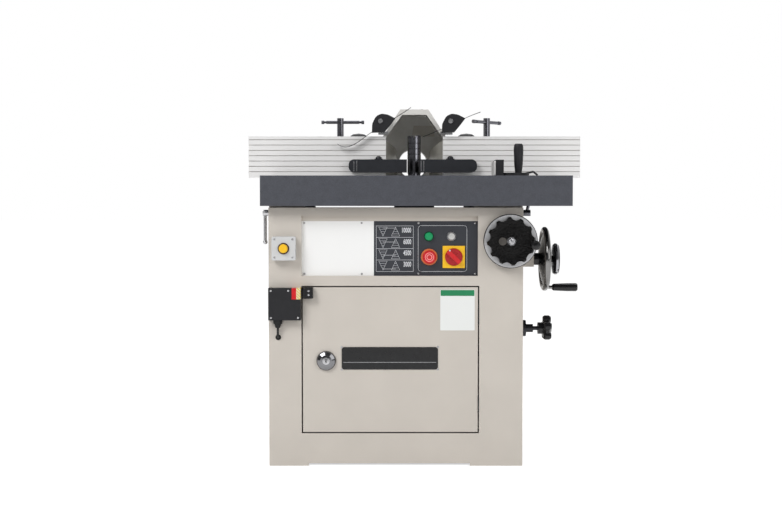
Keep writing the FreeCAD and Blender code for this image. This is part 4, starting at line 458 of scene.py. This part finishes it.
bm = bmesh.new()
for py in rows:
    ruled(bm, (left, py), (right, py), LINE)
for px in (left, right):
    ruled(bm, (px, rows[0]), (px, rows[-1]), LINE)
for row, drop in zip(rows, belt_drops):
    top, low = row + CONE_TOP, row + CONE_FOOT
    for centre, wide, narrow in ((SPINDLE_CONE, top, low), (MOTOR_CONE, low, top)):
        for side in (-CONE_HALF, CONE_HALF):
            ruled(bm, (centre + side, wide), (centre, narrow), SLANT_LINE)
        for step in range(CONE_STEPS):
            height = wide + (narrow - wide) * step / CONE_STEPS
            half = CONE_HALF * (1 - step / CONE_STEPS)
            ruled(bm, (centre - half, height), (centre + half, height), STEP_LINE)
    belt_row = row + BELT_TOP + drop
    ruled(bm, (SPINDLE_CONE, belt_row), (MOTOR_CONE, belt_row), LINE, BELT_HIGH)
piece("speed_chart_lines", bm, "cabinet", ink)

# The numbers end at one pixel column, each a few pixels below its row's line.
number_end, number_drop, number_narrow, number_lift = 411.2, 6.6, 0.57, 0.0002
numbers = bmesh.new()
for row, text in zip(rows, ("10000", "6000", "4500", "3000")):
    words = bpy.data.curves.new("speed_" + text, "FONT")
    words.body = text
    words.align_x = "RIGHT"
    words.size = 0.0205
    words.extrude = 0.00015
    words.offset = 0.0005
    words.resolution_u = 3
    holder = bpy.data.objects.new("speed_" + text, words)
    bpy.context.collection.objects.link(holder)
    bpy.context.view_layer.update()
    shape = bpy.data.meshes.new_from_object(holder.evaluated_get(bpy.context.evaluated_depsgraph_get()))
    x, z = at(number_end, row + number_drop, panel_y)
    shape.transform(Matrix.Translation((x, panel_y - number_lift, z)) @ Matrix.Rotation(math.pi / 2, 4, "X")
                    @ Matrix.Diagonal((number_narrow, 1, 1, 1)))
    numbers.from_mesh(shape)
    bpy.data.objects.remove(holder)
    bpy.data.curves.remove(words)
piece("speed_numbers", numbers, "cabinet", ink)

outline_top, outline_foot, outline_corner = (418.2, 225.6), (466.8, 271.5), 0.009
bm = bmesh.new()
x0, z1 = at(*outline_top, panel_y)
x1, z0 = at(*outline_foot, panel_y)
ring = rounded(x0, x1, z0, z1, outline_corner)
for n in range(len(ring)):
    stroke(bm, ring[n - 1], ring[n], panel_y, OUTLINE, INK_HIGH)
piece("control_outline", bm, "cabinet", ink)

# Blank label on the door, with its coloured band.
door_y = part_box("door")[0][1]
label_top, label_foot, band_row = (440.3, 289.7), (474.6, 330.4), 295.9
label_thick, label_corner, band_thick, band_in, band_corner = 0.0004, 0.002, 0.0002, 0.001, 0.0015
x0, z1 = at(*label_top, door_y)
x1, z0 = at(*label_foot, door_y)
band = at(label_top[0], band_row, door_y)[1]
bm = bmesh.new()
plate(bm, rounded(x0, x1, z0, z1, label_corner, steps=3), door_y, label_thick)
piece("blank_label", bm, "door", Shader("label_white", dict(WHITE, color=(236, 238, 236))).mat)
bm = bmesh.new()
plate(bm, rounded(x0 + band_in, x1 - band_in, band, z1 - band_in, band_corner, steps=3), door_y - label_thick,
      band_thick)
label_green = Shader("label_green", dict(GREEN, color=(20, 128, 80), rough=0.4, coat=0.0)).mat
piece("label_band", bm, "door", label_green)

# Rule across the blank nameplate, slot of the door knob, dot on the main switch.
low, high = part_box("blank_nameplate")
bm = bmesh.new()
rule_in, rule_rise, rule_wide = 0.006, 0.0215, 0.0016
rule_z = low[2] + rule_rise
stroke(bm, (low[0] + rule_in, rule_z), (high[0] - rule_in, rule_z), low[1], rule_wide, INK_HIGH)
piece("nameplate_rule", bm, "door", Shader("rule_silver", dict(STEEL, color=(150, 150, 152))).mat)

# Painted shade: the door knob's slot is a dark plate standing in for the shade inside it.
dark = Shader("painted_slot_shade", dict(GLOSSY, rough=0.6)).mat
slot_half, slot_reach, slot_corner = 0.0014, 0.006, 0.0012
x, z = knob_mid
bm = bmesh.new()
plate(bm, rounded(x - slot_half, x + slot_half, z - slot_reach, z + slot_reach, slot_corner, steps=3),
      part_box("door_knob")[0][1], INK_HIGH)
piece("door_knob_slot", bm, "door_knob", dark)

switch_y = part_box("switch_knob")[0][1]
dot_spot, dot_half, dot_corner = (449.9, 250.6), 0.0024, 0.0023
x, z = at(*dot_spot, switch_y)
bm = bmesh.new()
plate(bm, rounded(x - dot_half, x + dot_half, z - dot_half, z + dot_half, dot_corner, steps=5), switch_y,
      INK_HIGH)
piece("switch_dot", bm, "switch_knob", ink)

# Painted highlights: bright steel strips on the pressure shoes stand in for the glints that light makes on
# their left ends.
glint_strip_metal = Shader("glint_strip_metal", dict(STEEL, color=(150, 150, 153))).mat
strip_row, left_glint_columns, right_glint_columns = 166, (353.3, 356.2), (420.6, 423.2)
strip_wide, strip_low, strip_top, strip_proud, strip_corner = 0.0034, 0.003, 0.037, 0.0005, 0.0008
for name, body, edges in (("shoe_left", "left_fence_plate", left_glint_columns),
                          ("shoe_right", "right_fence_plate", right_glint_columns)):
    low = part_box(name)[0]
    bm = bmesh.new()
    for px in edges:
        x = at(px, strip_row, low[1])[0]
        outline = rounded(x, x + strip_wide, low[2] + strip_low, low[2] + strip_top, strip_corner, steps=3)
        plate(bm, outline, low[1], strip_proud)
    piece(name + "_strips", bm, body, glint_strip_metal)

# Inside the hood: two bent chip plates that lead to the outlet, and a cover on the back wall.
sheet_grey = Shader("chip_plate", dict(LIGHTGREY, color=(196, 193, 184), vary=0.12, scale=30, rough=0.45,
                                       metal=0.2)).mat
chip_half, chip_inward, chip_front, chip_deep, chip_thick = 0.0945, 0.040, 0.004, 0.2225, 0.0015
chip_foot, chip_top, chip_fall, chip_steps = 0.8655, 0.985, 0.03, 10
for side, word in ((-1, "left"), (1, "right")):
    bm = bmesh.new()
    rims = []
    for n in range(chip_steps + 1):
        share = n / chip_steps
        x = side * (chip_half - chip_inward * math.sin(share * math.pi / 2))
        y = chip_front + chip_deep * share
        top = chip_top - chip_fall * share
        rims.append([bm.verts.new((x + shift * side, y, z))
                     for shift in (0, chip_thick) for z in (chip_foot, top)])
    for first, second in zip(rims, rims[1:]):
        for a, b in ((0, 1), (1, 3), (3, 2), (2, 0)):
            bm.faces.new((first[a], first[b], second[b], second[a]))
    bm.faces.new((rims[0][0], rims[0][1], rims[0][3], rims[0][2]))
    bm.faces.new((rims[-1][0], rims[-1][2], rims[-1][3], rims[-1][1]))
    piece("chip_plate_" + word, bm, "fence", sheet_grey, True)

wall, cover_thick = 0.227, 0.0012
cover_corners = ((413.6, 125.8), (431.6, 125.8), (434.4, 131.0), (434.4, 136.6), (411.8, 136.6))
bm = bmesh.new()
plate(bm, [at(px, py, wall) for px, py in cover_corners], wall, cover_thick)
piece("hood_cover", bm, "fence", Shader("cover_grey", dict(LIGHTGREY, color=(226, 222, 214))).mat)

# Pale facing on the working side of the mitre gauge, with its front narrowed a little all round.
low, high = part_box("mitre_head")
facing_in, facing_high, facing_corner, facing_bite = 0.001, 0.0445, 0.004, 0.0002
facing_step, facing_thick, narrow_y, narrow_z = 0.0035, 0.005, 0.015, 0.03
facing_rise = 0.0227
mid_y, mid_z = (low[1] + high[1]) / 2, low[2] + facing_rise
facing = rounded(low[1] + facing_in, high[1] - facing_in, low[2] + facing_in, low[2] + facing_high,
                 facing_corner, steps=4)
narrowed = [(y + (mid_y - y) * narrow_y, z + (mid_z - z) * narrow_z) for y, z in facing]
edge = low[0] + facing_bite
bm = bmesh.new()
inner = [bm.verts.new((edge, y, z)) for y, z in facing]
outer = [bm.verts.new((edge - facing_step, y, z)) for y, z in facing]
rim = [bm.verts.new((edge - facing_thick, y, z)) for y, z in narrowed]
bm.faces.new(inner)
bm.faces.new(rim)
for first, second in ((inner, outer), (outer, rim)):
    for n in range(len(facing)):
        bm.faces.new((first[n - 1], first[n], second[n], second[n - 1]))
piece("mitre_facing", bm, "mitre_head", Shader("facing_alu", dict(ALU, color=(206, 205, 203))).mat)

# Flat belt round both pulleys; it rides on no body.
low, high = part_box("drive_belt")
spindle_round, motor_round, belt_thick, belt_edge = 0.0386, 0.067, 0.005, 0.0009
spindle_steps, run_steps, motor_steps = 24, 15, 36
motor_x = middle("motor_pulley", "x")[0]
lean = math.asin((motor_round - spindle_round) / motor_x)
side = math.pi / 2 + lean
run = [(motor_x * n / run_steps, spindle_round + (motor_round - spindle_round) * n / run_steps)
       for n in range(1, run_steps)]
line = [(0, spindle_round, side + (2 * math.pi - 2 * side) * n / spindle_steps)
        for n in range(spindle_steps + 1)]
line += [(x, r, -side) for x, r in run]
line += [(motor_x, motor_round, -side + 2 * side * n / motor_steps) for n in range(motor_steps + 1)]
line += [(x, r, side) for x, r in reversed(run)]
foot, head, outer = low[2], high[2], belt_thick - belt_edge
section = ((0, foot + belt_edge), (0, head - belt_edge), (belt_edge, head), (outer, head),
           (belt_thick, head - belt_edge), (belt_thick, foot + belt_edge), (outer, foot), (belt_edge, foot))
bm = bmesh.new()
hoops = [[bm.verts.new((x + (r + out) * math.cos(turn), (r + out) * math.sin(turn), z)) for out, z in section]
         for x, r, turn in line]
for n, hoop in enumerate(hoops):
    for k in range(len(section)):
        bm.faces.new((hoops[n - 1][k - 1], hoops[n - 1][k], hoop[k], hoop[k - 1]))
belt = piece("flat_belt", bm, None, Shader("belt_rubber", dict(RUBBER, bump=0.25, bump_scale=900)).mat)
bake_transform(belt)
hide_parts("drive_belt")

# Supply cable of the interlock switch, from its gland into the cabinet.
cable = bpy.data.curves.new("interlock_lead", "CURVE")
cable.dimensions = "3D"
cable.bevel_depth = 0.0035
cable.bevel_resolution = 6
route = ((-0.409, -0.330, 0.4205), (-0.409, -0.330, 0.4145), (-0.409, -0.330, 0.382),
         (-0.409, -0.299, 0.385))
spline = cable.splines.new("NURBS")
spline.points.add(len(route) - 1)
for point, spot in zip(spline.points, route):
    point.co = (*spot, 1)
spline.order_u = 3
spline.use_endpoint_u = True
spline.resolution_u = 16
lead = bpy.data.objects.new("interlock_lead", cable)
bpy.context.collection.objects.link(lead)
cable.materials.append(Shader("lead_black", dict(RUBBER, color=(30, 30, 31), rough=0.5)).mat)
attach(lead, "cabinet")
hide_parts("interlock_cable")

# Stage: pale floor, white surround, soft light.
floor_side, floor_near, floor_far, floor_tone, floor_glow = 30, -12, 60, 0.8, 0.72
arch_sight = 0.06
room_light, room_front, room_back, room_dim, room_white = 0.38, -0.3, 0.5, 0.16, 1.0


def cabinet_ground(tree):
    """Mask of the ground inside the cabinet, short of what shows under the front's arch."""
    place = tree.nodes.new("ShaderNodeSeparateXYZ")
    tree.links.new(tree.nodes.new("ShaderNodeNewGeometry").outputs["Position"], place.inputs[0])
    low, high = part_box("back_panel")
    spans = ((low[0], high[0]), (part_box("front_panel")[0][1] + arch_sight, high[1]))
    covers = [operate(tree, "COMPARE", place.outputs[axis], (near + far) / 2, (far - near) / 2)
              for axis, (near, far) in enumerate(spans)]
    return operate(tree, "MULTIPLY", *covers)


def floor_material():
    """Pale matte that keeps the shadow and glows to white for the eye, but not inside the cabinet."""
    pale = bpy.data.materials.new("floor_pale")
    pale.use_nodes = True
    tree = pale.node_tree
    tree.nodes.clear()
    path = tree.nodes.new("ShaderNodeLightPath").outputs
    seen = operate(tree, "MAXIMUM", path["Is Camera Ray"], path["Is Glossy Ray"])
    seen = operate(tree, "MAXIMUM", seen, path["Is Transmission Ray"])
    outside = operate(tree, "SUBTRACT", 1, cabinet_ground(tree))
    glow = tree.nodes.new("ShaderNodeEmission")
    strength = operate(tree, "MULTIPLY", operate(tree, "MULTIPLY", seen, floor_glow), outside)
    tree.links.new(strength, glow.inputs["Strength"])
    matte = tree.nodes.new("ShaderNodeBsdfDiffuse")
    matte.inputs["Color"].default_value = (floor_tone, floor_tone, floor_tone, 1)
    total = tree.nodes.new("ShaderNodeAddShader")
    tree.links.new(matte.outputs[0], total.inputs[0])
    tree.links.new(glow.outputs[0], total.inputs[1])
    out = tree.nodes.new("ShaderNodeOutputMaterial")
    tree.links.new(total.outputs[0], out.inputs["Surface"])
    return pale


def surround():
    """White to the eye; gloss sees it white behind the object and dimmer in front of it."""
    world = bpy.data.worlds.new("surround")
    world.use_nodes = True
    tree = world.node_tree
    tree.nodes.clear()
    path = tree.nodes.new("ShaderNodeLightPath").outputs
    seen = operate(tree, "MAXIMUM", path["Is Camera Ray"], path["Is Transmission Ray"])
    toward = tree.nodes.new("ShaderNodeSeparateXYZ")
    tree.links.new(tree.nodes.new("ShaderNodeTexCoord").outputs["Generated"], toward.inputs[0])
    room = tree.nodes.new("ShaderNodeMapRange")
    room.inputs["From Min"].default_value = room_front
    room.inputs["From Max"].default_value = room_back
    room.inputs["To Min"].default_value = room_dim
    room.inputs["To Max"].default_value = room_white
    tree.links.new(toward.outputs[1], room.inputs["Value"])
    level = room_light
    for factor, other in ((path["Is Glossy Ray"], room.outputs["Result"]), (seen, room_white)):
        choice = tree.nodes.new("ShaderNodeMix")
        tree.links.new(factor, choice.inputs["Factor"])
        feed(tree, choice.inputs["A"], level)
        feed(tree, choice.inputs["B"], other)
        level = choice.outputs["Result"]
    sky = tree.nodes.new("ShaderNodeBackground")
    sky.inputs["Color"].default_value = (1, 1, 1, 1)
    tree.links.new(level, sky.inputs["Strength"])
    out = tree.nodes.new("ShaderNodeOutputWorld")
    tree.links.new(sky.outputs[0], out.inputs["Surface"])
    return world


def softbox(name, spot, aim, wide, power):
    lamp = bpy.data.lights.new(name, "AREA")
    lamp.size = wide
    lamp.energy = power
    thing = bpy.data.objects.new(name, lamp)
    thing.location = spot
    thing.rotation_euler = (Vector(aim) - Vector(spot)).to_track_quat("-Z", "Y").to_euler()
    bpy.context.collection.objects.link(thing)


floor_mesh = bpy.data.meshes.new("floor")
floor_corners = [(-floor_side, floor_near, 0), (floor_side, floor_near, 0), (floor_side, floor_far, 0),
                 (-floor_side, floor_far, 0)]
floor_mesh.from_pydata(floor_corners, [], [(0, 1, 2, 3)])
floor_mesh.materials.append(floor_material())
floor = bpy.data.objects.new("floor", floor_mesh)
bpy.context.collection.objects.link(floor)
scene = bpy.context.scene
scene.world = surround()
softbox("key", spot=(-2.2, -3.4, 3.2), aim=(0, 0, 0.6), wide=1.8, power=95)
softbox("fill", spot=(2.6, -3.2, 1.8), aim=(0, 0, 0.6), wide=2.2, power=40)
softbox("top", spot=(0, 0.6, 3.4), aim=(0, 0, 0.8), wide=2.0, power=45)

eye = bpy.data.cameras.new("camera")
eye.sensor_width = 36
eye.lens = FOCAL_PX / WIDE_PX * eye.sensor_width
eye.clip_end = 200
camera = bpy.data.objects.new("camera", eye)
camera.location = EYE
camera.rotation_euler = (math.pi / 2 - PITCH, 0, 0)
bpy.context.collection.objects.link(camera)
scene.camera = camera
scene.view_settings.view_transform = "Standard"
